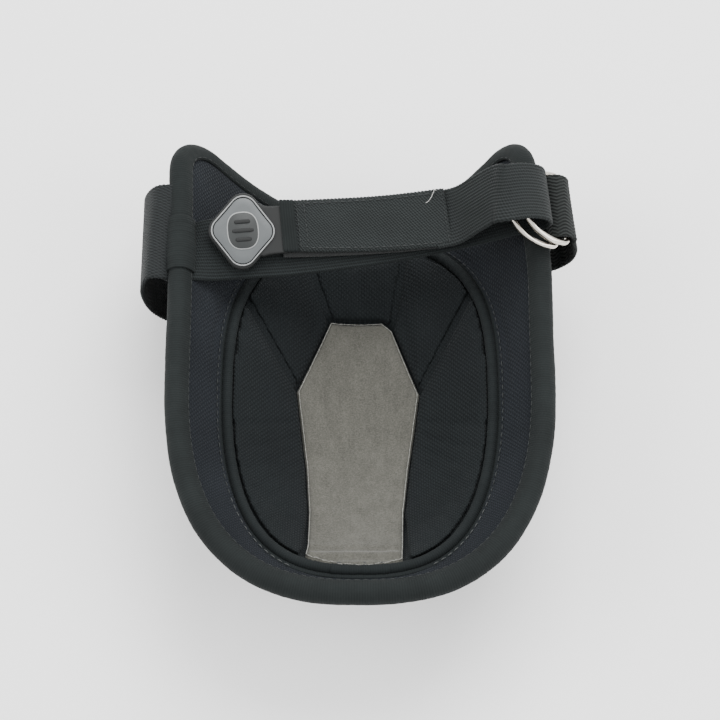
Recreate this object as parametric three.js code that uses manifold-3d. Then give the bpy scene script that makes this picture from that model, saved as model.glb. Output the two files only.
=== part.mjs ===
// A cup-shaped padded guard for a limb joint, lying on its back with its mouth up.
// +X is the wearer-side right, +Y runs from the closed toe to the two horns, +Z points out of the mouth.
// The origin is the centre of the strike plate's flat face. Millimetres throughout.
import * as THREE from "three";
import { mergeVertices } from "three/addons/utils/BufferGeometryUtils.js";
import Module from "manifold-3d";

const wasm = await Module();
wasm.setup();

// The wall: a trough along Y that closes at the toe, measured on its middle surface.
const HALF_WIDTH = 70; // of the rim, beside the origin
const FLARE = 2; // how much wider each side is at the horns
const TOE = 91; // from the origin to the closed end of the rim
const HORN = 102.6; // from the origin to the two horns
const DIP = 17.8; // how far the top edge falls back between the horns
const CORNER = { width: 11, height: 16 }; // the round of each horn
const LEAN = 6; // how far the right horn is pulled in by the strap
const LOWEST = 6.4; // height of the middle surface on its centre line
const DEPTH = 50; // from there up to the rim
const ROUNDNESS = 2.6; // exponent of the toe's outline, where 2 is an ellipse
const BEND = 0.56; // share of the rim's run that lies in the toe

// Layers, as heights over the middle surface towards the mouth.
const GAP = 0.3;
const SHELL = [-3.1, -1.5];
const FOAM = [-1.2, 1.8];
const LINING = [2.1, 3.1];
const BASE = [2.1, 3.0];
const PATCH = [3.3, 5.2];
const PAD = [3.3, 7.0];
const EXTRA_FOAM = 2.4; // more foam in the middle of the cup than at its edges

// The oval dish, its piping and its sewn channels.
const OVAL = { halfWidth: 55.6, halfLength: 78.5, toeLength: 82.5, centreY: -2.4, exponent: 2.6 };
const PIPING_RADIUS = 2.1;
const CHANNEL = 2.6;

// The binding tape folded over the wall's edge.
const BINDING = { radius: 4.7, cavity: 3.9, leg: 3.4 };
const OVERLAP = { radius: 6.0, cavity: 5.2, leg: 4.4 }; // a second turn of tape over the strap's end

// Straps and rings.
const ELASTIC = 1.4; // thickness
const STRAP_WIDTH = 23.4;
const TAIL_WIDTH = 21;
const STRAP_TILT = 17; // degrees that the strap's upper edge stands up across the mouth
const RING_TILT = 4; // the same for the rings
const RING_TURN = 6; // degrees that the rings and their loop turn to follow the leaning horn
const TAPE = 0.8; // thickness of each half of the hook and loop fastener
const WIRE = 1.2; // radius of the ring wire
const RING = { halfWidth: 15.2, side: 8, depth: 21, corner: 3, rise: 35 };
const HINGE = new THREE.Vector3(78.4, 65, 62.6); // the axis that both rings swing about
const BAR_OFFSET = new THREE.Vector3(2.1, 0, 1.1); // from that axis to the upper ring's bar

const deg = THREE.MathUtils.degToRad;
const smooth = THREE.MathUtils.smoothstep;
const v3 = (x, y, z) => new THREE.Vector3(x, y, z);
const group = new THREE.Group();

// --- from three.js geometry to manifold solids and back ---

function solid(geometry) {
  const bare = geometry.index ? geometry.toNonIndexed() : geometry.clone();
  bare.deleteAttribute("normal");
  bare.deleteAttribute("uv");
  const merged = mergeVertices(bare, 1e-3);
  const kept = [];
  const index = merged.index.array;
  for (let i = 0; i < index.length; i += 3) {
    const [a, b, c] = index.slice(i, i + 3);
    if (a !== b && b !== c && a !== c) kept.push(a, b, c);
  }
  return new wasm.Manifold(
    new wasm.Mesh({
      numProp: 3,
      vertProperties: merged.attributes.position.array,
      triVerts: new Uint32Array(kept),
    }),
  );
}

function geometryOf(manifold) {
  const mesh = manifold.getMesh();
  return new THREE.BufferGeometry()
    .setAttribute("position", new THREE.BufferAttribute(mesh.vertProperties, 3))
    .setIndex(new THREE.BufferAttribute(mesh.triVerts, 1));
}

function fromTriangles(points) {
  const flat = new Float32Array(points.flatMap((p) => [p.x, p.y, p.z]));
  return new THREE.BufferGeometry().setAttribute("position", new THREE.BufferAttribute(flat, 3));
}

function add(name, geometry, material, parent = group) {
  const flat = geometry.index ? geometry.toNonIndexed() : geometry;
  flat.computeVertexNormals();
  const mesh = new THREE.Mesh(flat, material);
  mesh.name = name;
  parent.add(mesh);
  return mesh;
}

// --- the wall's middle surface ---

const halfWidth = (y) => HALF_WIDTH + FLARE * Math.max(0, y / HORN) ** 2;

// 0 on the centre line, 1 at the rim.
function reach(x, y) {
  if (y >= 0) return Math.abs(x) / halfWidth(y);
  const sum = Math.abs(x / HALF_WIDTH) ** ROUNDNESS + Math.abs(y / TOE) ** ROUNDNESS;
  return sum ** (1 / ROUNDNESS);
}

const middleZ = (x, y) => LOWEST + DEPTH * reach(x, y) ** 2;

function wallNormal(x, y) {
  const step = 0.01;
  const slopeX = (middleZ(x + step, y) - middleZ(x - step, y)) / (2 * step);
  const slopeY = (middleZ(x, y + step) - middleZ(x, y - step)) / (2 * step);
  return v3(-slopeX, -slopeY, 1).normalize();
}

// The right horn leans in a little.
function lean(point) {
  const up = smooth(point.y, 35, 100);
  const out = Math.max(0, point.x / HALF_WIDTH) ** 2;
  point.x -= LEAN * up * out;
  return point;
}

const onWall = (x, y, height) =>
  lean(v3(x, y, middleZ(x, y)).addScaledVector(wallNormal(x, y), height));

// The extra foam fades out before it reaches the binding.
const extraFoam = (x, y) =>
  EXTRA_FOAM * (1 - smooth(reach(x, y), 0.45, 0.86)) * (1 - smooth(y, 66, 80));

function topEdge(share) {
  const run = Math.max(0, 1 - (1 - share) * (HALF_WIDTH / CORNER.width));
  return HORN - DIP * (1 - share ** 2) - CORNER.height * (1 - Math.sqrt(1 - run ** 2));
}

// A point of the plan: share 0 to 1 from the centre line to the rim, run -1 to 1 from horn to horn.
function plan(share, run) {
  const side = Math.sign(run);
  const along = Math.abs(run);
  if (along <= BEND) {
    const angle = ((along / BEND) * Math.PI) / 2;
    const power = 2 / ROUNDNESS;
    const x = side * share * HALF_WIDTH * Math.sin(angle) ** power;
    return [x, -share * TOE * Math.max(0, Math.cos(angle)) ** power];
  }
  const y = ((along - BEND) / (1 - BEND)) * topEdge(share);
  return [side * share * halfWidth(y), y];
}

// A layer of the wall between two heights, with foam(x, y) added to the heights where asked.
function wallLayer([low, high], extraLow = () => 0, extraHigh = () => 0) {
  const ROWS = 8;
  const COLUMNS = 18;
  const shares = Array.from({ length: ROWS + 1 }, (_, i) => 1 - (1 - i / ROWS) ** 1.35);
  const at = (i, j, top) => {
    const [x, y] = plan(shares[i], j / COLUMNS);
    return onWall(x, y, top ? high + extraHigh(x, y) : low + extraLow(x, y));
  };
  const triangles = [];
  const quad = (a, b, c, d) => triangles.push(a, b, c, a, c, d);
  for (let i = 0; i < ROWS; i++)
    for (let j = -COLUMNS; j < COLUMNS; j++) {
      quad(at(i, j, 1), at(i + 1, j, 1), at(i + 1, j + 1, 1), at(i, j + 1, 1));
      quad(at(i, j, 0), at(i, j + 1, 0), at(i + 1, j + 1, 0), at(i + 1, j, 0));
    }
  for (let j = -COLUMNS; j < COLUMNS; j++)
    quad(at(ROWS, j, 1), at(ROWS, j, 0), at(ROWS, j + 1, 0), at(ROWS, j + 1, 1));
  for (let i = 0; i < ROWS; i++) {
    const [left, right] = [-COLUMNS, COLUMNS];
    quad(at(i + 1, right, 1), at(i + 1, right, 0), at(i, right, 0), at(i, right, 1));
    quad(at(i, left, 1), at(i, left, 0), at(i + 1, left, 0), at(i + 1, left, 1));
  }
  return solid(fromTriangles(triangles));
}

// --- prisms along Z, to cut with ---

const PRISM_TOP = 90;

function prism(shape) {
  return solid(new THREE.ExtrudeGeometry(shape, { depth: PRISM_TOP, bevelEnabled: false }));
}

function ovalPoint(angle, inset) {
  const power = 2 / OVAL.exponent;
  const [c, s] = [Math.cos(angle), Math.sin(angle)];
  return [
    Math.sign(c) * (OVAL.halfWidth - inset) * Math.abs(c) ** power,
    OVAL.centreY + (s < 0 ? inset - OVAL.toeLength : OVAL.halfLength - inset) * Math.abs(s) ** (s < 0 ? 0.87 : power),
  ];
}

function ovalPrism(inset) {
  const count = 56;
  const points = [];
  for (let i = 0; i < count; i++)
    points.push(new THREE.Vector2(...ovalPoint((2 * Math.PI * i) / count, inset)));
  return prism(new THREE.Shape(points));
}

function polygonPrism(points) {
  return prism(new THREE.Shape(points.map(([x, y]) => new THREE.Vector2(x, y))));
}

// A straight channel between two plan points.
function channelPrism([x0, y0], [x1, y1], width) {
  const side = new THREE.Vector2(y0 - y1, x1 - x0).setLength(width / 2);
  return polygonPrism([
    [x0 + side.x, y0 + side.y],
    [x0 - side.x, y0 - side.y],
    [x1 - side.x, y1 - side.y],
    [x1 + side.x, y1 + side.y],
  ]);
}

// --- sweeps ---

// A closed section, as [sideways, upwards] pairs, along rows of frames; closed joins the last row to the first.
function sweep(section, frames, closed) {
  const at = (k, m) => {
    const { origin, side, up } = frames[k % frames.length];
    const [a, b] = section[m % section.length];
    return origin.clone().addScaledVector(side, a).addScaledVector(up, b);
  };
  const triangles = [];
  const rows = closed ? frames.length : frames.length - 1;
  for (let k = 0; k < rows; k++)
    for (let m = 0; m < section.length; m++) {
      const [a, b, c, d] = [at(k, m), at(k, m + 1), at(k + 1, m + 1), at(k + 1, m)];
      triangles.push(a, b, c, a, c, d);
    }
  if (!closed) {
    const flat = section.map(([a, b]) => new THREE.Vector2(a, b));
    for (const [a, b, c] of THREE.ShapeUtils.triangulateShape(flat, [])) {
      triangles.push(at(0, a), at(0, c), at(0, b));
      triangles.push(at(rows, a), at(rows, b), at(rows, c));
    }
  }
  return fromTriangles(triangles);
}

function facingOut(geometry) {
  const made = solid(geometry);
  if (made.volume() > 0) return geometry;
  const p = geometry.getAttribute("position");
  const turned = [];
  for (let i = 0; i < p.count; i += 3)
    for (const k of [i, i + 2, i + 1]) turned.push(v3(p.getX(k), p.getY(k), p.getZ(k)));
  return fromTriangles(turned);
}

// Frames along a strap: its width lies near Y, and "up" is its face.
// The width's upper edge stands up by tilt degrees and turns by turn degrees towards -X.
// A strap that wanders sideways is shifted by shift[0] at its start up to shift[1] at its end.
function strapFrames(curve, { tilt = 0, turn = 0, from = 0, to = 1, steps = 18, shift = [0, 0] }) {
  const across = v3(0, Math.cos(deg(tilt)), Math.sin(deg(tilt)));
  across.applyAxisAngle(v3(0, 0, 1), deg(turn));
  return Array.from({ length: steps + 1 }, (_, i) => {
    const share = i / steps;
    const at = from + (to - from) * share;
    const tangent = curve.getTangentAt(at);
    const side = across.clone().addScaledVector(tangent, -across.dot(tangent)).normalize();
    const wander = shift[0] + (shift[1] - shift[0]) * share;
    const origin = curve.getPointAt(at).addScaledVector(side, wander);
    return { origin, side, up: tangent.clone().cross(side) };
  });
}

function band(curve, shape) {
  const half = shape.width / 2;
  const { low = -ELASTIC / 2, high = ELASTIC / 2 } = shape;
  const section = [
    [-half, low],
    [half, low],
    [half, high],
    [-half, high],
  ];
  return facingOut(sweep(section, strapFrames(curve, shape), false));
}

// --- materials ---

const material = (color, roughness, metalness = 0) =>
  new THREE.MeshStandardMaterial({ color, roughness, metalness });
const shellPlastic = material(0x1d1f20, 0.5);
const plateRubber = material(0x17181a, 0.7);
const foam = material(0x2a2c2e, 0.95);
const meshFabric = material(0x1b1f20, 0.95);
const suede = material(0x76766b, 1);
const tape = material(0x26292a, 0.9);
const webbing = material(0x1f2322, 0.9);
const fastener = material(0x151617, 1);
const steel = material(0xc9c4bd, 0.25, 1);
const rubber = material(0x37393b, 0.6);
const badgeGrey = material(0x7d8082, 0.55);

// --- the wall's layers ---

const shellLayer = wallLayer(SHELL);
const VENT = { width: 3.4, length: 15, pitch: 9, rows: 3, y: -8, x: 38 };

function ventPrisms() {
  const slots = [];
  for (const side of [-1, 1])
    for (let i = 0; i < VENT.rows; i++) {
      const x = side * VENT.x;
      const y = VENT.y + (i - (VENT.rows - 1) / 2) * VENT.pitch;
      slots.push(channelPrism([x, y], [x + side * VENT.length * 0.5, y + 5], VENT.width));
    }
  return slots;
}

function addShell() {
  const cut = ventPrisms().reduce((body, slot) => body.subtract(slot), shellLayer);
  add("outer_shell", geometryOf(cut), shellPlastic);
}

// A tapered oval boss with a flat face, which the guard lies on and which takes the blow.
function addStrikePlate() {
  const PLATE = { halfWidth: 25, halfLength: 44, height: 14, flatShare: 0.74 };
  const cone = new THREE.CylinderGeometry(1, PLATE.flatShare, PLATE.height, 44)
    .rotateX(Math.PI / 2)
    .scale(PLATE.halfWidth, PLATE.halfLength, 1)
    .translate(0, 0, PLATE.height / 2);
  const above = wallLayer([SHELL[0] - GAP, 24]);
  const plate = solid(cone).subtract(above);
  add("strike_plate", geometryOf(plate.decompose()[0]), plateRubber);
}

function addLayers() {
  add("foam_core", geometryOf(wallLayer(FOAM, () => 0, extraFoam)), foam);
  const lining = wallLayer(LINING, extraFoam, extraFoam).subtract(ovalPrism(1.3));
  const groove = solid(tubeAlong(ringPath(0, 2 * Math.PI, 61), PIPING_RADIUS + 2 * GAP, true));
  const pieces = lining.subtract(groove).decompose();
  pieces.sort((a, b) => b.volume() - a.volume()); // the groove leaves slivers inside it
  add("lining", geometryOf(pieces[0]), meshFabric);
}

// --- the dish: base, five pads, centre patch, piping ---

const PATCH_OUTLINE = [
  [-12, 39],
  [9, 39],
  [13, 35],
  [23.5, 4.5],
  [19, -28],
  [17, -50],
  [17.6, -68],
  [19, -80],
  [-24, -80],
  [-21, -68],
  [-20, -50],
  [-21, -28],
  [-25, 5.5],
];
const CHANNELS = [
  [[-12, 38], [-27, 82]],
  [[13, 35], [21, 84]],
  [[-24.6, 5], [-52, 50]],
  [[23.2, 4], [50, 52]],
];
const DISH_INSET = 5.7;

function grown(outline, by) {
  const centre = new THREE.Vector2(-1, -16);
  return outline.map(([x, y]) => {
    const away = new THREE.Vector2(x, y).sub(centre);
    away.setLength(away.length() + by);
    return [centre.x + away.x, centre.y + away.y];
  });
}

const padName = (x, y) => {
  if (Math.abs(x) < 9) return "pad_top";
  return `pad_${y > 12 ? "upper" : "lower"}_${x < 0 ? "left" : "right"}`;
};

function addDish() {
  const dish = ovalPrism(DISH_INSET);
  add("dish_base", geometryOf(wallLayer(BASE, extraFoam, extraFoam).intersect(dish)), meshFabric);
  let pads = wallLayer(PAD, extraFoam, extraFoam).intersect(dish);
  for (const [start, end] of CHANNELS) pads = pads.subtract(channelPrism(start, end, CHANNEL));
  pads = pads.subtract(polygonPrism(grown(PATCH_OUTLINE, 1)));
  for (const pad of pads.decompose()) {
    if (pad.volume() < 100) continue;
    const box = pad.boundingBox();
    const name = padName((box.min[0] + box.max[0]) / 2, (box.min[1] + box.max[1]) / 2);
    add(name, geometryOf(pad), meshFabric);
  }
  const patch = polygonPrism(PATCH_OUTLINE).intersect(dish);
  add("centre_patch", geometryOf(wallLayer(PATCH, extraFoam, extraFoam).intersect(patch)), suede);
}

// The piping's two ends meet at the toe, under a short sleeve of tape.
const JOIN_HALF_ANGLE = deg(7);

function ringPath(from, to, count, radius = PIPING_RADIUS) {
  const height = FOAM[1] + 2 * GAP + radius;
  return Array.from({ length: count }, (_, i) => {
    const [x, y] = ovalPoint(from + ((to - from) * i) / (count - 1), 0);
    return onWall(x, y, height + extraFoam(x, y));
  });
}

function tubeAlong(points, radius, closed = false) {
  const path = new THREE.CatmullRomCurve3(closed ? points.slice(0, -1) : points, closed);
  if (closed) return new THREE.TubeGeometry(path, points.length, radius, 10, true);
  const round = new THREE.Shape().absarc(0, 0, radius, 0, 2 * Math.PI);
  return new THREE.ExtrudeGeometry(round, {
    steps: points.length,
    curveSegments: 5,
    bevelEnabled: false,
    extrudePath: path,
  });
}

function addPiping() {
  const toe = -Math.PI / 2;
  const round = 2 * Math.PI;
  const ring = ringPath(toe + JOIN_HALF_ANGLE, toe + round - JOIN_HALF_ANGLE, 56);
  add("piping_ring", tubeAlong(ring, PIPING_RADIUS), tape);
  const end = JOIN_HALF_ANGLE * 0.92;
  const sleeve = ringPath(toe - end, toe + end, 8, PIPING_RADIUS + 0.2);
  add("piping_sleeve", tubeAlong(sleeve, PIPING_RADIUS + 0.2), tape);
}

// --- the binding tape ---

// Frames along the wall's edge, through the plan points given.
function edgeFrames(spots, closed) {
  const origins = spots.map(([x, y]) => onWall(x, y, 0));
  const last = origins.length - 1;
  return spots.map(([x, y], k) => {
    const before = origins[k > 0 ? k - 1 : closed ? last : 0];
    const after = origins[k < last ? k + 1 : closed ? 0 : last];
    const tangent = after.clone().sub(before).normalize();
    const up = wallNormal(x, y);
    up.addScaledVector(tangent, -up.dot(tangent)).normalize();
    return { origin: origins[k], side: tangent.clone().cross(up), up };
  });
}

// A channel that wraps the wall's edge, as a closed section.
function channelSection({ radius, cavity, leg }, depth) {
  const section = [[-leg, -radius]];
  for (let a = -90; a <= 90; a += 30)
    section.push([radius * Math.cos(deg(a)), radius * Math.sin(deg(a))]);
  section.push([-leg, radius], [-leg, cavity]);
  if (depth) section.push([depth, cavity], [depth, -cavity]);
  else for (let a = 60; a >= -60; a -= 30)
    section.push([cavity * Math.cos(deg(a)), cavity * Math.sin(deg(a))]);
  section.push([-leg, -cavity]);
  return section;
}

function addBinding() {
  const RIM_STEPS = 24;
  const TOP_STEPS = 12;
  const edge = [];
  for (let j = -RIM_STEPS; j <= RIM_STEPS; j++) edge.push(plan(1, j / RIM_STEPS));
  for (let i = TOP_STEPS - 1; i > -TOP_STEPS; i--) {
    const share = Math.sin((Math.abs(i / TOP_STEPS) * Math.PI) / 2);
    edge.push(plan(share, i < 0 ? -1 : 1));
  }
  const tapeSection = channelSection(BINDING, GAP);
  add("rim_binding", facingOut(sweep(tapeSection, edgeFrames(edge, true), true)), tape);
  const patch = [-0.867, -0.846, -0.825, -0.804, -0.783].map((run) => plan(1, run));
  const overlap = sweep(channelSection(OVERLAP), edgeFrames(patch, false), false);
  add("binding_overlap", facingOut(overlap), tape);
}

// --- the strap across the mouth ---

// The inner pass runs from the left rim to the rings.
const INNER_PATH = new THREE.CatmullRomCurve3([
  v3(-60, 52.2, 56.2),
  v3(-46, 53.2, 54.2),
  v3(-29.5, 55, 52.6),
  v3(-7, 58, 52.3),
  v3(16, 61, 53.6),
  v3(32, 62.9, 56.5),
  v3(47, 64.3, 60.8),
]);
const FASTENED = { from: 0.27, to: 0.85, tilt: STRAP_TILT }; // where the tail is stuck down
const TAIL_SHIFT = [8, 2.4]; // how far the tail lies off the inner pass's middle, at its tip and its seam
const TAIL_LOW = ELASTIC / 2 + 3 * GAP + 2 * TAPE;
const TAIL_LEVEL = { low: TAIL_LOW, high: TAIL_LOW + ELASTIC };
const HOOK_SHIFT = [1.7, -3.9];
const HOOK_WIDTH = 13;

function addInnerPass() {
  add("main_strap", band(INNER_PATH, { tilt: STRAP_TILT, width: STRAP_WIDTH }), webbing);
  const low = ELASTIC / 2 + GAP;
  const loop = { ...FASTENED, low, high: low + TAPE, width: HOOK_WIDTH, shift: HOOK_SHIFT };
  add("loop_tape", band(INNER_PATH, loop), fastener);
}

// A patch sewn over a strap's end on the outside of the shell.
function addAnchor(name, [x, y], length, height) {
  const ANCHOR = { width: 15, thickness: 1 };
  const layer = wallLayer([height - ANCHOR.thickness, height]);
  const [w, l] = [ANCHOR.width / 2, length / 2];
  const outline = polygonPrism([
    [x - w, y - l],
    [x + w, y - l],
    [x + w, y + l],
    [x - w, y + l],
  ]);
  add(name, geometryOf(layer.intersect(outline)), tape);
}

const UNDER_SHELL = SHELL[0] - GAP; // the highest that anything outside the shell may lie

function addLeftElastic() {
  const WIDTH = 42;
  const Y = 58;
  const sewn = UNDER_SHELL - ELASTIC / 2 - 0.25;
  const start = onWall(-69.5, Y, -BINDING.radius - GAP - ELASTIC - 1.4);
  const path = new THREE.CatmullRomCurve3([
    start,
    v3(start.x - 3.2, Y, start.z + 3.6),
    v3(-82.6, Y, 58.2),
    v3(-86.6, Y, 49),
    v3(-86.2, Y, 38),
    v3(-82.6, Y, 27.5),
    v3(-75, Y, 19),
    v3(-63, Y, 13.6),
    v3(-50, Y, 11.4),
    onWall(-36, Y, sewn - 2.6),
    onWall(-30, Y, sewn - 0.3),
    onWall(-24, Y, sewn),
    onWall(-18, Y, sewn),
  ]);
  add("left_elastic", band(path, { width: WIDTH, steps: 30 }), webbing);
  addAnchor("left_anchor", [-23.5, Y], WIDTH + 3, UNDER_SHELL - ELASTIC - GAP - 0.5);
}

// --- rings, the loop that holds them, and the strap's fold round them ---

// A letter D lying in its own XY plane: its bar on Y, its bow towards -X.
function ringOutline() {
  const { halfWidth: half, side, depth, corner } = RING;
  const barEnd = [];
  for (let a = 0; a <= 90; a += 30)
    barEnd.push([-corner + corner * Math.cos(deg(a)), half - corner + corner * Math.sin(deg(a))]);
  const bow = [];
  for (let a = 90; a <= 270; a += 15)
    bow.push([-side + (depth - side) * Math.cos(deg(a)), half * Math.sin(deg(a))]);
  const otherEnd = barEnd.map(([x, y]) => [x, -y]).reverse();
  return [...barEnd, ...bow, ...otherEnd].map(([x, y]) => v3(x, y, 0));
}

function addRing(name, sign, parent) {
  const outline = ringOutline();
  const count = outline.length;
  const frames = outline.map((origin, k) => {
    const tangent = outline[(k + 1) % count].clone().sub(outline[(k + count - 1) % count]);
    return { origin, side: tangent.normalize().cross(v3(0, 0, 1)), up: v3(0, 0, 1) };
  });
  const wire = Array.from({ length: 8 }, (_, i) => {
    const a = (i * Math.PI) / 4;
    return [WIRE * Math.cos(a), WIRE * Math.sin(a)];
  });
  const mesh = add(name, facingOut(sweep(wire, frames, true)), steel, parent);
  mesh.rotation.y = deg(RING.rise);
  mesh.position.copy(BAR_OFFSET).multiplyScalar(sign);
}

// The strap's fold, from the end of the inner pass under both bows and back over them.
const FOLD_PATH = [
  [-31, -1.7],
  [-24.5, 1],
  [-17, 3.6],
  [-10, 5],
  [-6.2, 7.2],
  [-4.8, 10.2],
  [-5.6, 13.6],
  [-9, 16.9],
  [-14.5, 18.9],
  [-20, 18.7],
];
const FOLD_SHIFT = 1.8; // towards the rings' upper ends

function addFold(parent) {
  const path = new THREE.CatmullRomCurve3(FOLD_PATH.map(([x, z]) => v3(x, FOLD_SHIFT, z)));
  add("strap_fold", band(path, { width: STRAP_WIDTH, steps: 30 }), webbing, parent);
}

function addRingLoop() {
  const WIDTH = 26.8;
  const EYE = 5.1;
  const shares = [0.6, 0.72, 0.84, 0.94, 1.01];
  const leg = (height) => shares.map((share) => onWall(share * halfWidth(HINGE.y), HINGE.y, height));
  const eye = [];
  for (let a = 195; a >= -30; a -= 30) {
    const [x, z] = [EYE * Math.cos(deg(a)), EYE * Math.sin(deg(a))];
    eye.push(v3(HINGE.x + x, HINGE.y, HINGE.z + z));
  }
  const inner = UNDER_SHELL - ELASTIC / 2 - 2.2;
  const path = [...leg(inner), ...eye, ...leg(inner - ELASTIC - GAP).reverse()];
  const shape = { tilt: RING_TILT, turn: RING_TURN, width: WIDTH, steps: 46 };
  add("ring_loop", band(new THREE.CatmullRomCurve3(path), shape), webbing);
  const outermost = inner - 1.5 * ELASTIC - 2 * GAP - 1.4;
  addAnchor("right_anchor", [47, HINGE.y - 2], WIDTH + 8, outermost);
}

// --- the tail, stuck down over the inner pass, and its pull tab ---

const tailShape = { ...FASTENED, ...TAIL_LEVEL, width: TAIL_WIDTH, shift: TAIL_SHIFT };

function addTail() {
  add("tail_webbing", band(INNER_PATH, tailShape), webbing);
  const high = TAIL_LOW - GAP;
  const hook = { ...FASTENED, low: high - TAPE, high, width: HOOK_WIDTH, shift: HOOK_SHIFT };
  add("hook_tape", band(INNER_PATH, hook), fastener);
  const seam = strapFrames(INNER_PATH, tailShape).at(-1);
  const start = seam.origin.clone().addScaledVector(seam.up, TAIL_LOW + ELASTIC / 2);
  const [foldX, foldZ] = FOLD_PATH.at(-1);
  const end = ringGroup.localToWorld(v3(foldX, FOLD_SHIFT, foldZ));
  const along = seam.side.clone().cross(seam.up);
  const rise = end.clone().sub(start);
  const path = new THREE.CatmullRomCurve3([
    start.clone().addScaledVector(along, 2 * GAP),
    start.clone().addScaledVector(along, 4),
    start.clone().addScaledVector(rise, 0.42).add(v3(0, 0, -1.3)),
    start.clone().addScaledVector(rise, 0.74).add(v3(0, 0, 0.9)),
    end.clone().add(v3(-3.6, -0.3, -0.6)),
    end.clone().add(v3(-0.5, 0, 0)),
  ]);
  add("tail_elastic", band(path, { tilt: 12, width: STRAP_WIDTH - 0.4, steps: 16 }), webbing);
}

// A rounded lozenge, scaled about its own centre.
const TAB = { centre: [16.3, 2.6], halfWidth: 12.7, halfHeight: 15.2, thickness: 2.6 };

function lozenge(scale) {
  const points = [];
  for (let i = 0; i < 40; i++) {
    const a = (i * Math.PI) / 20;
    const [c, s] = [Math.cos(a), Math.sin(a)];
    const x = TAB.centre[0] + Math.sign(c) * TAB.halfWidth * scale * Math.abs(c) ** 1.3;
    const y = TAB.centre[1] + Math.sign(s) * TAB.halfHeight * scale * Math.abs(s) ** 1.3;
    points.push(new THREE.Vector2(x, y));
  }
  return points;
}

const slab = (shape, low, high) =>
  new THREE.ExtrudeGeometry(shape, { depth: high - low, bevelEnabled: false }).translate(0, 0, low);

// The tab lies in its own frame: +X away from the tail, +Y towards the toe, +Z out of its face.
function addTab() {
  const end = strapFrames(INNER_PATH, tailShape)[0];
  const away = end.up.clone().cross(end.side);
  const tab = new THREE.Group();
  const basis = new THREE.Matrix4().makeBasis(away, end.side.clone().negate(), end.up);
  basis.setPosition(end.origin);
  tab.applyMatrix4(basis);
  group.add(tab);
  const low = TAIL_LOW - GAP - TAPE + 0.3;
  const top = low + TAB.thickness;
  const plate = solid(slab(new THREE.Shape(lozenge(1)), low, top));
  const neck = new THREE.Shape([
    new THREE.Vector2(0.5, -7.8),
    new THREE.Vector2(7.5, -6.5),
    new THREE.Vector2(12, 13.2),
    new THREE.Vector2(0.5, 11.4),
  ]);
  add("pull_tab", geometryOf(plate.add(solid(slab(neck, low, top)))), rubber, tab);
  const border = new THREE.Shape(lozenge(0.86));
  border.holes.push(new THREE.Path(lozenge(0.76)));
  add("badge_border", slab(border, top + GAP, top + GAP + 0.6), badgeGrey, tab);
  add("badge_panel", slab(new THREE.Shape(lozenge(0.68)), top + GAP, top + GAP + 0.5), badgeGrey, tab);
  const RIBS = { pitch: 4.6, lengths: [7, 10.5, 7], width: 1.5, height: 0.9 };
  RIBS.lengths.forEach((length, i) => {
    const rib = new THREE.CapsuleGeometry(RIBS.width / 2, length - RIBS.width, 3, 8)
      .rotateZ(Math.PI / 2)
      .translate(TAB.centre[0], TAB.centre[1] + (i - 1) * RIBS.pitch, top + 2 * GAP + 0.5 + RIBS.width / 2);
    add(`grip_rib_${i + 1}`, rib, rubber, tab);
  });
}

const ringGroup = new THREE.Group();
ringGroup.position.copy(HINGE);
ringGroup.rotation.set(deg(RING_TILT), 0, deg(RING_TURN), "ZYX");
group.add(ringGroup);

addShell();
addStrikePlate();
addLayers();
addDish();
addPiping();
addBinding();
addInnerPass();
addLeftElastic();
addRing("d_ring_lower", -1, ringGroup);
addRing("d_ring_upper", 1, ringGroup);
addFold(ringGroup);
addRingLoop();
addTail();
addTab();

export default group;
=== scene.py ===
import math

import bmesh
import bpy
import numpy as np
from mathutils import Matrix, Vector


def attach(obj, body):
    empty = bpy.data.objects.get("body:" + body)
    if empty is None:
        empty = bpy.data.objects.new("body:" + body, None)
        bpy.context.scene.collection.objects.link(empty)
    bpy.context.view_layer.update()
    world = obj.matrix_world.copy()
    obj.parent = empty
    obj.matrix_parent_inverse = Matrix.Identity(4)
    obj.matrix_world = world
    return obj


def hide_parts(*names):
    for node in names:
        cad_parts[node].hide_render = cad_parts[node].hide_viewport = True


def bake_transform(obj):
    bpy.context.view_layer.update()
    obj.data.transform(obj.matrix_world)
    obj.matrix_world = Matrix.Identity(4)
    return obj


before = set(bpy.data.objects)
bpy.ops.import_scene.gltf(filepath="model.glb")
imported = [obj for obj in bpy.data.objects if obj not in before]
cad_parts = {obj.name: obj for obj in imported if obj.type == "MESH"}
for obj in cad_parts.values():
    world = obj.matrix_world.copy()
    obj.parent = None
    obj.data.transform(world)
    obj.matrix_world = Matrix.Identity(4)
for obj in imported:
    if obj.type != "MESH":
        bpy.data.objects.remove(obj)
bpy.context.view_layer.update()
MM = 0.001

# The wall and the straps follow the same formulas as the CAD model, in millimetres.
HALF_WIDTH, FLARE, TOE, HORN, DIP = 70, 2, 91, 102.6, 17.8
CORNER_WIDTH, CORNER_HEIGHT, LEAN = 11, 16, 6
LOWEST, DEPTH, ROUNDNESS, BEND = 6.4, 50, 2.6, 0.56
EXTRA_FOAM = 2.4
OVAL_HALF_WIDTH, OVAL_HALF_LENGTH, OVAL_Y = 55.6, 78.5, -2.4
TOE_REACH = 4.0
PIPING = 2.1
SHELL_INNER, SHELL_OUTER = -1.5, -3.1  # the moulded shell's two faces, off the wall's middle
CLOTH_UNDER, PIPING_SEAT, PAD_FACE = 2.15, 2.35, 4.2
PATCH_TOP = 39
STRIKE_X, STRIKE_Y, STRIKE_SPREAD_X, STRIKE_SPREAD_Y = 18.5, 32.6, 6.5, 11.4
ELASTIC = 1.4
STRAP_TILT, RING_TILT, RING_TURN = 17, 4, 6
HINGE = np.array([78.4, 65, 62.6])
BAR_OFFSET = np.array([2.1, 0, 1.1])
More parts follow.
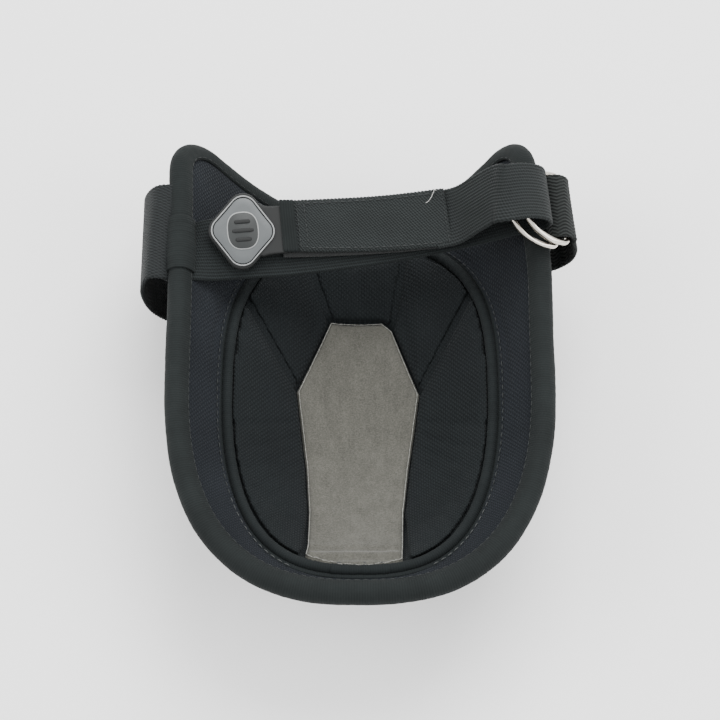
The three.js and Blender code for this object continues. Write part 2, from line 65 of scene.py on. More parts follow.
RING_HALF, RING_SIDE, RING_DEPTH, RING_CORNER, RING_WIRE = 14.6, 5, 21, 3, 1.2


# --- the wall's surface ---


def smooth(x, low, high):
    t = np.clip((x - low) / (high - low), 0, 1)
    return t * t * (3 - 2 * t)


def half_width(y):
    return HALF_WIDTH + FLARE * np.maximum(0, y / HORN) ** 2


def reach(x, y):
    beside = np.abs(x) / half_width(y)
    round_toe = np.abs(x / HALF_WIDTH) ** ROUNDNESS + np.abs(y / TOE) ** ROUNDNESS
    return np.where(y >= 0, beside, round_toe ** (1 / ROUNDNESS))


def middle(x, y):
    return LOWEST + DEPTH * reach(x, y) ** 2


def wall_normal(x, y):
    step = 0.01
    slope_x = (middle(x + step, y) - middle(x - step, y)) / (2 * step)
    slope_y = (middle(x, y + step) - middle(x, y - step)) / (2 * step)
    n = np.stack([-slope_x, -slope_y, np.ones_like(slope_x)], -1)
    return n / np.linalg.norm(n, axis=-1, keepdims=True)


def on_wall(x, y, height):
    x, y = np.broadcast_arrays(np.asarray(x, float), np.asarray(y, float))
    p = np.stack([x, y, middle(x, y)], -1) + wall_normal(x, y) * np.asarray(height)[..., None]
    out = np.maximum(0, p[..., 0] / HALF_WIDTH) ** 2
    p[..., 0] -= LEAN * smooth(p[..., 1], 35, 100) * out
    return p


def extra_foam(x, y):
    return EXTRA_FOAM * (1 - smooth(reach(x, y), 0.45, 0.86)) * (1 - smooth(y, 66, 80))


def top_edge(share):
    run = np.maximum(0, 1 - (1 - share) * (HALF_WIDTH / CORNER_WIDTH))
    return HORN - DIP * (1 - share**2) - CORNER_HEIGHT * (1 - np.sqrt(1 - run**2))


def plan(share, run):
    along = np.abs(run)
    angle = np.minimum(along / BEND, 1) * math.pi / 2
    power = 2 / ROUNDNESS
    toe_x = share * HALF_WIDTH * np.sin(angle) ** power
    toe_y = -share * TOE * np.maximum(0, np.cos(angle)) ** power
    y = (along - BEND) / (1 - BEND) * top_edge(share)
    in_toe = along <= BEND
    x = np.where(in_toe, toe_x, share * half_width(y))
    return np.sign(run) * x, np.where(in_toe, toe_y, y)


def oval(angle, inset=0.0):
    c, s = np.cos(angle), np.sin(angle)
    x = np.sign(c) * (OVAL_HALF_WIDTH - inset) * np.abs(c) ** (2 / 2.6)
    head = (OVAL_HALF_LENGTH - inset) * np.abs(s) ** (2 / 2.6)
    toe = (OVAL_HALF_LENGTH + TOE_REACH - inset) * np.abs(s) ** 0.87
    return x, OVAL_Y + np.where(s < 0, -toe, head)


def beneath(x, y, height):
    """The plan point whose offset by height lies over this world point."""
    px, py = x.copy(), y.copy()
    for _ in range(8):
        n = wall_normal(px, py)
        px, py = x - n[..., 0] * height, y - n[..., 1] * height
    return px, py


def edge_loop(rim_steps, top_steps):
    """Plan points right round the wall's edge, from the left horn by the toe to the right."""
    run = np.linspace(-1, 1, 2 * rim_steps + 1)
    x, y = plan(np.ones_like(run), run)
    i = np.arange(top_steps - 1, -top_steps, -1)
    share = np.sin(np.abs(i / top_steps) * math.pi / 2)
    tx, ty = plan(share, np.where(i < 0, -1.0, 1.0))
    return np.concatenate([x, tx]), np.concatenate([y, ty])


def arc_length(p):
    """The distance along a path at each of its points."""
    return np.concatenate([[0], np.cumsum(np.linalg.norm(np.diff(p, axis=0), axis=1))])


def resample(p, at, s):
    """The points at distances at along a path whose own points lie at distances s."""
    return np.stack([np.interp(at, s, p[:, k]) for k in range(p.shape[1])], -1)


def even(points, count, closed=False):
    """The same path with evenly spaced points."""
    p = np.vstack([points, points[:1]]) if closed else np.asarray(points)
    s = arc_length(p)
    at = np.linspace(0, s[-1], count + 1)[:-1] if closed else np.linspace(0, s[-1], count)
    return resample(p, at, s)


def fabric_uv(p):
    """Millimetres along the cloth that covers the wall, from plan points."""
    slope = 2 * DEPTH / HALF_WIDTH**2
    x, y = p[..., 0], np.minimum(p[..., 1], 0) * 0.8
    u = 0.5 * (x * np.sqrt(1 + (slope * x) ** 2) + np.arcsinh(slope * x) / slope)
    v = 0.5 * (y * np.sqrt(1 + (slope * y) ** 2) + np.arcsinh(slope * y) / slope) / 0.8
    return np.stack([u, v + np.maximum(p[..., 1], 0)], -1)


# --- meshes ---


def make(name, verts, faces, uv=None, flat=False):
    """A mesh object from millimetres. uv holds one pair per vertex, or one per face corner."""
    mesh = bpy.data.meshes.new(name)
    mesh.from_pydata((np.asarray(verts) * MM).tolist(), [], [list(map(int, f)) for f in faces])
    if uv is not None:
        uv = np.asarray(uv, float)
        loops = corner_points(mesh)
        corner = uv if len(uv) == len(loops) and len(uv) != len(verts) else uv[loops]
        mesh.uv_layers.new(name="cloth").data.foreach_set("uv", (corner * MM).ravel())
    mesh.validate()
    mesh.polygons.foreach_set("use_smooth", [not flat] * len(mesh.polygons))
    obj = bpy.data.objects.new(name, mesh)
    bpy.context.scene.collection.objects.link(obj)
    return obj


def sweep(name, rows, closed):
    """A closed solid from rows of closed sections, an array of rows x section x 3.

    Each section is a loop: its first half is one side and its second half comes back along the other.
    """
    rows = np.asarray(rows)
    count, m = rows.shape[:2]
    length = arc_length(rows[:, m // 4])
    if closed:
        length = np.append(length, length[-1] + np.linalg.norm(rows[0, m // 4] - rows[-1, m // 4]))
    across = np.linalg.norm(np.diff(rows, axis=1, append=rows[:, :1]), axis=2).mean(0)
    across = np.concatenate([[0], np.cumsum(across)])
    k = np.arange(count if closed else count - 1)[:, None]
    j = np.arange(m)[None, :]
    quads, uv = [], []
    for dk, dj in ((0, 0), (1, 0), (1, 1), (0, 1)):
        quads.append(((k + dk) % count) * m + (j + dj) % m)
        u = np.broadcast_to(length[k + dk], quads[-1].shape)
        v = np.broadcast_to(across[j + dj], quads[-1].shape)
        uv.append(np.stack([u, v], -1))
    faces = np.stack(quads, -1).reshape(-1, 4)
    uv = np.stack(uv, 2).reshape(-1, 2)
    faces = faces.tolist()
    if not closed:
        half = m // 2
        for row, turn in ((0, 1), (count - 1, -1)):
            for a in range(half - 1):
                ring = [a, a + 1, m - 2 - a, m - 1 - a]
                faces.append([row * m + t for t in ring[::turn]])
                uv = np.vstack([uv, [[length[row], across[t]] for t in ring[::turn]]])
    return fix_normals(make(name, rows.reshape(-1, 3), faces, uv))


def fix_normals(obj, weld=0.0):
    """Turns all faces outwards, after welding points closer than weld metres."""
    bm = bmesh.new()
    bm.from_mesh(obj.data)
    if weld:
        bmesh.ops.remove_doubles(bm, verts=bm.verts, dist=weld)
    bmesh.ops.recalc_face_normals(bm, faces=bm.faces)
    bm.to_mesh(obj.data)
    bm.free()
    return obj


def coordinates(obj):
    co = np.zeros(len(obj.data.vertices) * 3)
    obj.data.vertices.foreach_get("co", co)
    return co.reshape(-1, 3) / MM


def corner_points(mesh):
    """The vertex at each face corner."""
    loops = np.zeros(len(mesh.loops), int)
    mesh.loops.foreach_get("vertex_index", loops)
    return loops


def ring_faces(n, m):
    """Quads between n closed rings of m points each."""
    quad = lambda k, j: [k * m + j, k * m + (j + 1) % m, (k + 1) * m + (j + 1) % m, (k + 1) * m + j]
    return [quad(k, j) for k in range(n - 1) for j in range(m)]


def round_rows(p, side, up, sides, radius, squash=1.0):
    """Oval sections round a path, squash times as high as they are wide."""
    a = np.arange(sides) * 2 * math.pi / sides
    ring = side[:, None] * np.cos(a)[None, :, None] + up[:, None] * (squash * np.sin(a))[None, :, None]
    return p[:, None] + ring * np.broadcast_to(radius, (len(p), sides))[..., None]


def applied(obj):
    """The object with its modifiers applied."""
    dg = bpy.context.evaluated_depsgraph_get()
    mesh = bpy.data.meshes.new_from_object(obj.evaluated_get(dg))
    obj.modifiers.clear()
    old, obj.data = obj.data, mesh
    bpy.data.meshes.remove(old)
    return obj


def tangents(p, closed):
    if closed:
        t = np.roll(p, -1, 0) - np.roll(p, 1, 0)
    else:
        t = np.gradient(p, axis=0)
    return t / np.linalg.norm(t, axis=1, keepdims=True)


def unit(v):
    return v / np.linalg.norm(v, axis=-1, keepdims=True)


def catmull(points, count, start=0.0, end=1.0):
    """An evenly stepped centripetal Catmull-Rom curve, as in the CAD model."""
    p = np.asarray(points, float)
    p = np.vstack([2 * p[0] - p[1], p, 2 * p[-1] - p[-2]])
    fine = []
    for i in range(1, len(p) - 2):
        t0 = 0.0
        t1 = t0 + np.linalg.norm(p[i] - p[i - 1]) ** 0.5
        t2 = t1 + np.linalg.norm(p[i + 1] - p[i]) ** 0.5
        t3 = t2 + np.linalg.norm(p[i + 2] - p[i + 1]) ** 0.5
        t = np.linspace(t1, t2, 24, endpoint=i == len(p) - 3)[:, None]
        between = lambda u, v, tu, tv: (tv - t) / (tv - tu) * u + (t - tu) / (tv - tu) * v
        a, b, c = between(p[i - 1], p[i], t0, t1), between(p[i], p[i + 1], t1, t2), between(p[i + 1], p[i + 2], t2, t3)
        fine.append(between(between(a, b, t0, t2), between(b, c, t1, t3), t1, t2))
    fine = np.vstack(fine)
    s = arc_length(fine)
    at = np.linspace(start, end, count) * s[-1]
    return resample(fine, at, s)


def strap_frames(points, tilt, turn=0.0, shift=(0.0, 0.0)):
    """Origin, side and up along a band. tilt and turn are degrees, for the whole band or for each point."""
    a, b = (np.broadcast_to(np.radians(v), len(points)) for v in (tilt, turn))
    across = np.stack([-np.sin(b) * np.cos(a), np.cos(b) * np.cos(a), np.sin(a)], -1)
    t = tangents(points, False)
    side = unit(across - t * np.sum(t * across, 1)[:, None])
    wander = np.linspace(shift[0], shift[1], len(points))[:, None]
    return points + side * wander, side, unit(np.cross(t, side))


def strap(name, frames, width, thickness=ELASTIC, level=0.0, rib=1.3, rib_height=0.12, edge=None, crown=0.0):
    """A webbing band with lengthwise ribs in its surface and a rounded edge.

    edge(s) moves the two edges in or out along the length, and crown bows the band across its width.
    """
    origin, side, up = frames
    width = np.broadcast_to(np.asarray(width, float), len(origin))
    ribs = max(1, round(width.mean() / rib))
    steps = ribs * 4 if rib_height else 24
    a = np.linspace(-1, 1, steps + 1)
    face = np.cos(np.linspace(0, 2 * math.pi * ribs, steps + 1)) * -0.5 * rib_height
    roll = np.sqrt(np.maximum(0, 1 - np.clip((np.abs(a) - 0.955) / 0.045, 0, 1) ** 2))
    half = thickness / 2
    top = (half + face) * (0.35 + 0.65 * roll)
    bow = crown * (1 - a**2)
    s = arc_length(origin)
    extra = edge(s) if edge else np.zeros_like(s)
    rows = []
    for sign, order in ((1, slice(None)), (-1, slice(None, None, -1))):
        lateral = a[None, :] * (width[:, None] / 2 + extra[:, None])
        height = level + bow + sign * top
        row = origin[:, None] + side[:, None] * lateral[..., None] + up[:, None] * height[None, :, None]
        rows.append(row[:, order])
    return sweep(name, np.concatenate(rows, 1), False)


def stitches(name, points, normals, length=2.2, gap=1.0, radius=0.28, lift=0.15):
    """Separate stitches laid along a path, each a little arched thread."""
    points, normals = np.asarray(points), np.asarray(normals)
    s = arc_length(points)
    verts, faces = [], []
    start = 0.0
    while start + length < s[-1]:
        at = start + np.linspace(0, length, 6)
        p = resample(points, at, s)
        n = unit(resample(normals, at, s))
        t = tangents(p, False)
        side = unit(np.cross(t, n))
        arch = np.sin(np.linspace(0, math.pi, 6))
        base = len(verts) * 36
        ring = []
        for k in range(6):
            r = radius * (0.35 + 0.65 * arch[k])
            centre = p[k] + n[k] * (lift * arch[k])
            for a in np.arange(6) * math.pi / 3:
                ring.append(centre + r * (side[k] * math.cos(a) + n[k] * math.sin(a)))
        verts.append(ring)
        faces += [[base + t for t in face] for face in ring_faces(6, 6)]
        faces.append([base + a for a in range(5, -1, -1)])
        faces.append([base + 30 + a for a in range(6)])
        start += length + gap
    assert verts, f"{name}: the path is shorter than one stitch"
    return fix_normals(make(name, np.array(verts).reshape(-1, 3), faces))


# --- materials ---


class Graph:
    """Short names for building a material's nodes."""

    def __init__(self, name, rough, metal=0.0, sheen=0.0, specular=0.5):
        self.material = bpy.data.materials.new(name)
        self.material.use_nodes = True
        self.tree = self.material.node_tree
        self.shader = self.tree.nodes["Principled BSDF"]
        settings = {"Roughness": rough, "Metallic": metal, "Sheen Weight": sheen, "Sheen Roughness": 0.45,
                    "Specular IOR Level": specular}
        for key, value in settings.items():
            self.shader.inputs[key].default_value = value

    def node(self, kind, **inputs):
        made = self.tree.nodes.new(kind)
        for key, value in inputs.items():
            self.put(made.inputs[key], value)
        return made

    def put(self, target, value):
        if isinstance(value, bpy.types.NodeSocket):
            self.tree.links.new(value, target)
        else:
            target.default_value = value

    def math(self, operation, *values):
        made = self.tree.nodes.new("ShaderNodeMath")
        made.operation = operation
        for target, value in zip(made.inputs, values):
            self.put(target, value)
        return made.outputs[0]

    def cloth(self):
        """The cloth's own coordinates in millimetres."""
        uv = self.tree.nodes.new("ShaderNodeUVMap")
        uv.uv_map = "cloth"
        parts = self.node("ShaderNodeSeparateXYZ", Vector=uv.outputs[0])
        u = self.math("MULTIPLY", parts.outputs[0], 1000.0)
        return u, self.math("MULTIPLY", parts.outputs[1], 1000.0)

    def place(self):
        return self.node("ShaderNodeTexCoord").outputs["Object"]

    def noise(self, scale, detail=3.0, rough=0.55, vector=None):
        made = self.node("ShaderNodeTexNoise", Scale=scale, Detail=detail, Roughness=rough)
        self.put(made.inputs["Vector"], vector if vector is not None else self.place())
        return made.outputs["Fac"]

    def wave(self, u, v, per_u, per_v):
        """A cosine with the given turns per millimetre."""
        total = self.math("MULTIPLY", u, per_u * 2 * math.pi)
        return self.math("COSINE", self.math("MULTIPLY_ADD", v, per_v * 2 * math.pi, total))

    def ribs(self, u, v, per_u, per_v):
        """The same wave, between 0 and 1."""
        return self.math("MULTIPLY_ADD", self.wave(u, v, per_u, per_v), 0.5, 0.5)

    def between(self, value, low, high, color_low, color_high):
        ramp = self.tree.nodes.new("ShaderNodeValToRGB")
        ramp.color_ramp.elements[0].position = low
        ramp.color_ramp.elements[1].position = high
        ramp.color_ramp.elements[0].color = (*color_low, 1)
        ramp.color_ramp.elements[1].color = (*color_high, 1)
        self.put(ramp.inputs[0], value)
        return ramp.outputs[0]

    def tinted(self, color, value, low=0.7, high=1.3, start=0.0, end=1.0):
        """The colour times low where value is start, up to high where it is end."""
        return self.between(value, start, end, [c * low for c in color], [c * high for c in color])

    def finish(self, color, height, strength, distance):
        self.put(self.shader.inputs["Base Color"], color)
        bump = self.node("ShaderNodeBump", Height=height)
        bump.inputs["Strength"].default_value = strength
        bump.inputs["Distance"].default_value = distance * MM
        self.put(self.shader.inputs["Normal"], bump.outputs[0])
        return self.material

    def mix(self, a, b, share):
        """a times (1 - share) plus b times share, for numbers."""
        return self.math("MULTIPLY_ADD", self.math("SUBTRACT", b, a), share, a)


def knit_mesh(name, color, pitch=1.05, contrast=0.5):
    """Honeycomb spacer mesh: staggered open cells, longer than wide."""
    g = Graph(name, 0.85, sheen=0.02, specular=0.1)
    u, v = g.cloth()
    k = 1 / pitch
    cells = g.wave(u, v, k, 0)
    cells = g.math("ADD", cells, g.wave(u, v, k / 2, k * 0.55))
    cells = g.math("ADD", cells, g.wave(u, v, -k / 2, k * 0.55))
    cells = g.math("MULTIPLY_ADD", cells, 1 / 4.5, 1 / 3)
    fuzz = g.noise(900.0, 2.0)
    height = g.mix(cells, fuzz, 0.22)
    patchy = g.noise(38.0, 3.0)
    value = g.mix(height, patchy, 0.45)
    tone = g.tinted(color, value, 1 - contrast, 1 + contrast, 0.2, 0.8)
    return g.finish(tone, height, 0.8, 0.45)


def grosgrain(name, color, pitch=1.0, strength=0.5):
    """Tape with fine ribs across its length."""
    g = Graph(name, 0.85, sheen=0.02, specular=0.1)
    u, v = g.cloth()
    ribs = g.ribs(u, v, 1 / pitch, 0)
    threads = g.ribs(u, v, 0, 1 / 0.45)
    height = g.mix(g.mix(ribs, threads, 0.25), g.noise(1100.0, 2.0), 0.3)
    value = g.mix(height, g.noise(60.0, 4.0, 0.6), 0.6)
    tone = g.tinted(color, value, 0.72, 1.3, 0.25, 0.75)
    return g.finish(tone, height, strength, 0.25)


def elastic_rib(name, color, pitch=1.3, contrast=0.55):
    """Elastic with lengthwise ribs and short weft floats across them."""
    g = Graph(name, 0.8, sheen=0.03, specular=0.15)
    u, v = g.cloth()
    ribs = g.ribs(u, v, 0, 1 / pitch)
    floats = g.ribs(u, v, 1 / 0.9, 0.5 / pitch)
    height = g.mix(g.mix(ribs, floats, 0.4), g.noise(1300.0, 2.0), 0.18)
    value = g.mix(height, g.noise(70.0, 3.0), 0.3)
    tone = g.tinted(color, value, 1 - contrast, 1 + contrast, 0.22, 0.78)
    return g.finish(tone, height, 0.9, 0.4)


def twill(name, color, pitch=1.25, slant=0.75, contrast=0.55):
    """Webbing with a diagonal weave."""
    g = Graph(name, 0.8, sheen=0.03, specular=0.15)
    u, v = g.cloth()
    lines = g.ribs(u, v, 1 / pitch, slant / pitch)
    cross = g.ribs(u, v, -0.4 / pitch, 1.3 / pitch)
    height = g.mix(g.mix(lines, cross, 0.3), g.noise(1300.0, 2.0), 0.2)
    value = g.mix(height, g.noise(60.0, 3.0), 0.3)
    tone = g.tinted(color, value, 1 - contrast, 1 + contrast, 0.22, 0.8)
    return g.finish(tone, height, 0.9, 0.4)


def chevron(name, color, pitch=1.5, contrast=0.6):
    """Elastic whose ribs run in a shallow zigzag."""
    g = Graph(name, 0.8, sheen=0.03, specular=0.15)
    u, v = g.cloth()
    fold = g.math("PINGPONG", u, 3.2)
    ribs = g.ribs(fold, v, 0.28, 1 / pitch)
    height = g.mix(ribs, g.noise(1300.0, 2.0), 0.2)
    tone = g.tinted(color, g.mix(height, g.noise(80.0), 0.25), 1 - contrast, 1 + contrast, 0.22, 0.78)
    return g.finish(tone, height, 0.9, 0.4)


def suede(name, color):
    """Brushed loop pile with short fibres lying along Y."""
    g = Graph(name, 1.0, sheen=0.15, specular=0.1)
    stretch = g.node("ShaderNodeMapping", Vector=g.place())
    stretch.inputs["Scale"].default_value = (1.0, 0.35, 1.0)
    fibres = g.noise(1500.0, 4.0, 0.75)
    brushed = g.noise(260.0, 4.0, 0.65, stretch.outputs[0])
    height = g.mix(fibres, brushed, 0.3)
    value = g.mix(g.mix(fibres, brushed, 0.25), g.noise(60.0, 2.0), 0.12)
    tone = g.tinted(color, value, 0.62, 1.38, 0.36, 0.64)
    return g.finish(tone, height, 0.8, 0.4)


def moulded(name, color, rough=0.5, grain=700.0, strength=0.25, distance=0.12, spread=0.18):
    """Moulded plastic or rubber with a fine spark-eroded grain and handling wear."""
    g = Graph(name, rough, specular=0.45)
    fine = g.noise(grain, 3.0, 0.6)
    broad = g.noise(25.0, 4.0, 0.6)
    tone = g.tinted(color, g.mix(fine, broad, 0.6), 1 - spread, 1 + spread)
    return g.finish(tone, fine, strength, distance)


def metal(name, color):
    g = Graph(name, 0.2, metal=1.0)
    scratch = g.node("ShaderNodeMapping", Vector=g.place())
    scratch.inputs["Scale"].default_value = (1.0, 6.0, 1.0)
    lines = g.noise(500.0, 3.0, 0.6, scratch.outputs[0])
    tone = g.tinted(color, g.noise(90.0, 3.0), 0.88, 1.1)
    return g.finish(tone, lines, 0.12, 0.05)


def thread(name, color):
    g = Graph(name, 0.8, sheen=0.05, specular=0.3)
    return g.finish(g.tinted(color, g.noise(600.0), 0.8, 1.2), g.noise(3000.0), 0.4, 0.1)


def pile(name, color):
    """Hook or loop tape: a dense field of tiny loops."""
    g = Graph(name, 0.95, sheen=0.1, specular=0.2)
    fine = g.noise(2200.0, 2.0, 0.7)
    return g.finish(g.tinted(color, g.mix(fine, g.noise(80.0), 0.3), 0.5, 1.6), fine, 1.0, 0.4)


MESH_COLLAR = knit_mesh("mesh_collar", (0.00955, 0.0114, 0.014), contrast=0.4)
MESH_PAD = knit_mesh("mesh_pad", (0.00727, 0.009, 0.00972), contrast=0.42)
TAPE = grosgrain("binding_tape", (0.00961, 0.0115, 0.0115))
PIPING_TAPE = grosgrain("piping_tape", (0.00785, 0.00972, 0.0101), 0.9, 0.4)
RIB = elastic_rib("rib_elastic", (0.0108, 0.0128, 0.0128))
# A darker copy of the rib elastic, about 0.7 times as bright: painted shade for the band's inner pass, which lies
# shaded under the front pass.
RIB_PAINTED_SHADE = elastic_rib("rib_elastic_painted_shade", (0.0074, 0.0094, 0.0096))
SIDE_RIB = twill("side_elastic", (0.0096, 0.0112, 0.0116), 1.9, 1.5)
WEAVE = twill("tail_weave", (0.0132, 0.0156, 0.0156))
LOOP_RIB = chevron("ring_loop_rib", (0.0119, 0.0135, 0.0131))
SUEDE = suede("patch_pile", (0.073, 0.0718, 0.0623))
SUEDE_EDGE = suede("patch_cut_edge", (0.216, 0.216, 0.198))
SHELL = moulded("shell_plastic", (0.0119, 0.0126, 0.0133), 0.48, 900.0, 0.35, 0.15)
PLATE = moulded("plate_rubber", (0.012, 0.012, 0.013), 0.72, 600.0, 0.4, 0.2)
FOAM = moulded("foam_cells", (0.02, 0.021, 0.022), 0.95, 1500.0, 0.8, 0.3)
TAB = moulded("tab_rubber", (0.0042, 0.0050, 0.0050), 0.78, 1200.0, 0.2, 0.08)
BADGE = moulded("badge_grey", (0.0700, 0.0765, 0.0790), 0.5, 1600.0, 0.2, 0.05, spread=0.08)
BADGE_LINE = moulded("badge_line", (0.208, 0.214, 0.214), 0.45, 1600.0, 0.15, 0.05, spread=0.08)
BADGE_DARK = moulded("badge_dark", (0.0118, 0.0140, 0.0140), 0.55, 1600.0, 0.2, 0.05, spread=0.1)
STEEL = metal("ring_steel", (0.66, 0.62, 0.56))
THREAD = thread("dark_thread", (0.018, 0.0204, 0.0204))
LIGHT_THREAD = thread("light_thread", (0.0432, 0.0459, 0.0459))
WHITE_THREAD = thread("white_thread", (0.6, 0.6, 0.58))
HOOKS = pile("hook_pile", (0.02, 0.021, 0.021))


def dress(obj, material, body, slot, *nodes):
    """Gives a piece its material and body, and hides the CAD nodes it stands for. The slot argument is not used.
    """
    obj.data.materials.clear()
    obj.data.materials.append(material)
    if body:
        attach(obj, body)
    if nodes:
        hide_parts(*nodes)
    return obj


def wobble(*values):
    """A smooth, fixed unevenness between -1 and 1."""
    total = 0
    for i, v in enumerate(values):
        total = total + np.sin(v * (0.9 + 0.37 * i) + 1.3 * i) * 0.6 + np.sin(v * (2.3 - 0.41 * i) + 0.7 + i) * 0.4
    return total / len(values)


# --- camera, floor and light ---

TARGET = Vector((0, 0.00135, 0.060))
ELEVATION = math.radians(65)
camera = bpy.data.objects.new("camera", bpy.data.cameras.new("camera"))
camera.data.lens = 110
camera.data.sensor_width = 36
camera.location = TARGET + 0.847 * Vector((0, -math.cos(ELEVATION), math.sin(ELEVATION)))
camera.rotation_euler = (math.pi / 2 - ELEVATION, 0, 0)
bpy.context.scene.collection.objects.link(camera)
bpy.context.scene.camera = camera


def area_light(name, place, size, power, aim=(0, 0, 0.04)):
    light = bpy.data.lights.new(name, "AREA")
    light.size, light.energy = size, power
    obj = bpy.data.objects.new(name, light)
    obj.location = place
    obj.rotation_euler = (Vector(place) - Vector(aim)).to_track_quat("Z", "Y").to_euler()
    bpy.context.scene.collection.objects.link(obj)


area_light("key", (0.25, 0.75, 1.1), 0.9, 24)
area_light("fill_left", (-1.0, -0.1, 0.8), 0.8, 11)
area_light("fill_right", (1.0, -0.3, 0.7), 0.8, 9)
world = bpy.data.worlds.new("studio")
world.use_nodes = True
world.node_tree.nodes["Background"].inputs[0].default_value = (1, 1, 1, 1)
world.node_tree.nodes["Background"].inputs[1].default_value = 1.5
bpy.context.scene.world = world

FLOOR = 3000
floor = make("floor", [[x * FLOOR, y * FLOOR, 0] for x, y in ((-1, -1), (1, -1), (1, 1), (-1, 1))], [[0, 1, 2, 3]])
paper = moulded("floor_paper", (0.92, 0.92, 0.92), 0.9, 300.0, 0.05, 0.05, spread=0.01)
floor.data.materials.append(paper)


# --- outer shell, strike plate ---


def wall_solid(name, low, high, relief, rows=40, columns=110):
    """A layer of the wall as one closed skin, with relief standing out from its outer face."""
    shares = 1 - (1 - np.linspace(0, 1, rows + 1)) ** 1.2
    s, r = np.meshgrid(shares, np.linspace(-1, 1, 2 * columns + 1))
    x, y = plan(s, r)
    inner = on_wall(x, y, np.full_like(x, high))
    outer = on_wall(x, y, low - relief(x, y, s))
    # The centre line is shared by both halves, so its columns collapse: weld them afterwards.
    a, b = inner.shape[:2]
    verts = np.concatenate([inner.reshape(-1, 3), outer.reshape(-1, 3)])
    faces = []
    grid = np.arange(a * b).reshape(a, b)
    for g, turn in ((grid, 1), (grid + a * b, -1)):
        q = np.stack([g[:-1, :-1], g[:-1, 1:], g[1:, 1:], g[1:, :-1]], -1).reshape(-1, 4)
        faces += q[:, ::turn].tolist()
    back = grid + a * b
    for i in range(a - 1):
        faces.append([grid[i, -1], back[i, -1], back[i + 1, -1], grid[i + 1, -1]])
    for row in (0, a - 1):
        for j in range(b - 1):
            faces.append([grid[row, j], grid[row, j + 1], back[row, j + 1], back[row, j]])
    return fix_normals(make(name, verts, faces), weld=2e-5)


def shell_relief(x, y, share):
    """A raised bead inside the rim and two long flutes beside the strike plate."""
    bead = np.exp(-(((share - 0.84) / 0.02) ** 2)) * 0.7
    flute = np.exp(-(((np.abs(x) - 33) / 1.6) ** 2)) * smooth(-np.abs(y - 8), -52, -44) * 0.6
    return bead + flute


shell = wall_solid("shell_skin", SHELL_OUTER, SHELL_INNER, shell_relief)


def slot_cutter(x, y, dx, dy, width):
    length = math.hypot(dx, dy)
    t = np.array([dx, dy]) / length
    n = np.array([-t[1], t[0]])
    outline = []
    for end in (1, -1):
        for a in np.linspace(-math.pi / 2, math.pi / 2, 9) + (math.pi if end < 0 else 0):
            outline.append(t * (end * (length - width) / 2 + width / 2 * math.cos(a)) + n * width / 2 * math.sin(a))
    ring = np.array(outline) + [x, y]
    m = len(ring)
    verts = [[*p, 0] for p in ring] + [[*p, 60] for p in ring]
    return fix_normals(make("cutter", verts, ring_faces(2, m) + [list(range(m))[::-1], list(range(m, 2 * m))]))


for side in (-1, 1):
    for i in (-1, 0, 1):
        cutter = slot_cutter(side * 41.75, -8 + i * 9 + 2.5, side * 7.5, 5, 3.4)
        cut = shell.modifiers.new("vent", "BOOLEAN")
        cut.object, cut.operation, cut.solver = cutter, "DIFFERENCE", "EXACT"
        applied(shell)
        bpy.data.objects.remove(cutter)
dress(shell, SHELL, "shell", "shell_plastic", "outer_shell")
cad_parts["foam_core"].data.materials.clear()
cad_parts["foam_core"].data.materials.append(FOAM)


def strike_plate():
    """A tapered oval boss: flat face with three shallow grooves, rounded edge, side up to the shell."""
    angle = np.linspace(0, 2 * math.pi, 128, endpoint=False)
    c, s = np.cos(angle), np.sin(angle)
    rows = []
    groove = [0.52, 0.68, 0.84]
    profile = [(r, sum(0.7 * math.exp(-(((r - g) / 0.018) ** 2)) for g in groove)) for r in np.linspace(0.04, 0.95, 40)]
    profile += [(0.95 + 0.05 * math.sin(k), 0.9 * (1 - math.cos(k))) for k in np.radians(np.linspace(0, 90, 7))]
    for r, depth in profile:
        rows.append(np.stack([c * STRIKE_X * r, s * STRIKE_Y * r, np.full_like(c, depth)], -1))
    spread = lambda g: (c * (STRIKE_X + STRIKE_SPREAD_X * g), s * (STRIKE_Y + STRIKE_SPREAD_Y * g))
    grow = np.zeros_like(c)
    for _ in range(60):
        x, y = spread(grow)
        gap = on_wall(x, y, np.full_like(x, -3.0))[:, 2] - (0.9 + 13.1 * grow)
        grow = np.clip(grow + gap * 0.02, 0, 1)
    for t in np.linspace(0.1, 1, 10):
        g = grow * t
        rows.append(np.stack([*spread(g), 0.9 + 13.1 * g], -1))
    x, y = spread(grow)
    for r in np.linspace(0.92, 0.04, 12):
        rows.append(on_wall(x * r, y * r, np.full_like(x, -2.6)))
    rows = np.array(rows)
    n, m = rows.shape[:2]
    centre = on_wall(np.zeros(1), np.zeros(1), np.full(1, -2.6))
    verts = np.concatenate([rows.reshape(-1, 3), [[0, 0, 0]], centre])
    faces = ring_faces(n, m)
    for j in range(m):
        faces.append([n * m, (j + 1) % m, j])
        faces.append([n * m + 1, (n - 1) * m + j, (n - 1) * m + (j + 1) % m])
    return fix_normals(make("strike_pad", verts, faces))


dress(strike_plate(), PLATE, "shell", "plate_rubber", "strike_plate")


# --- lining collar, dish, pads, patch ---


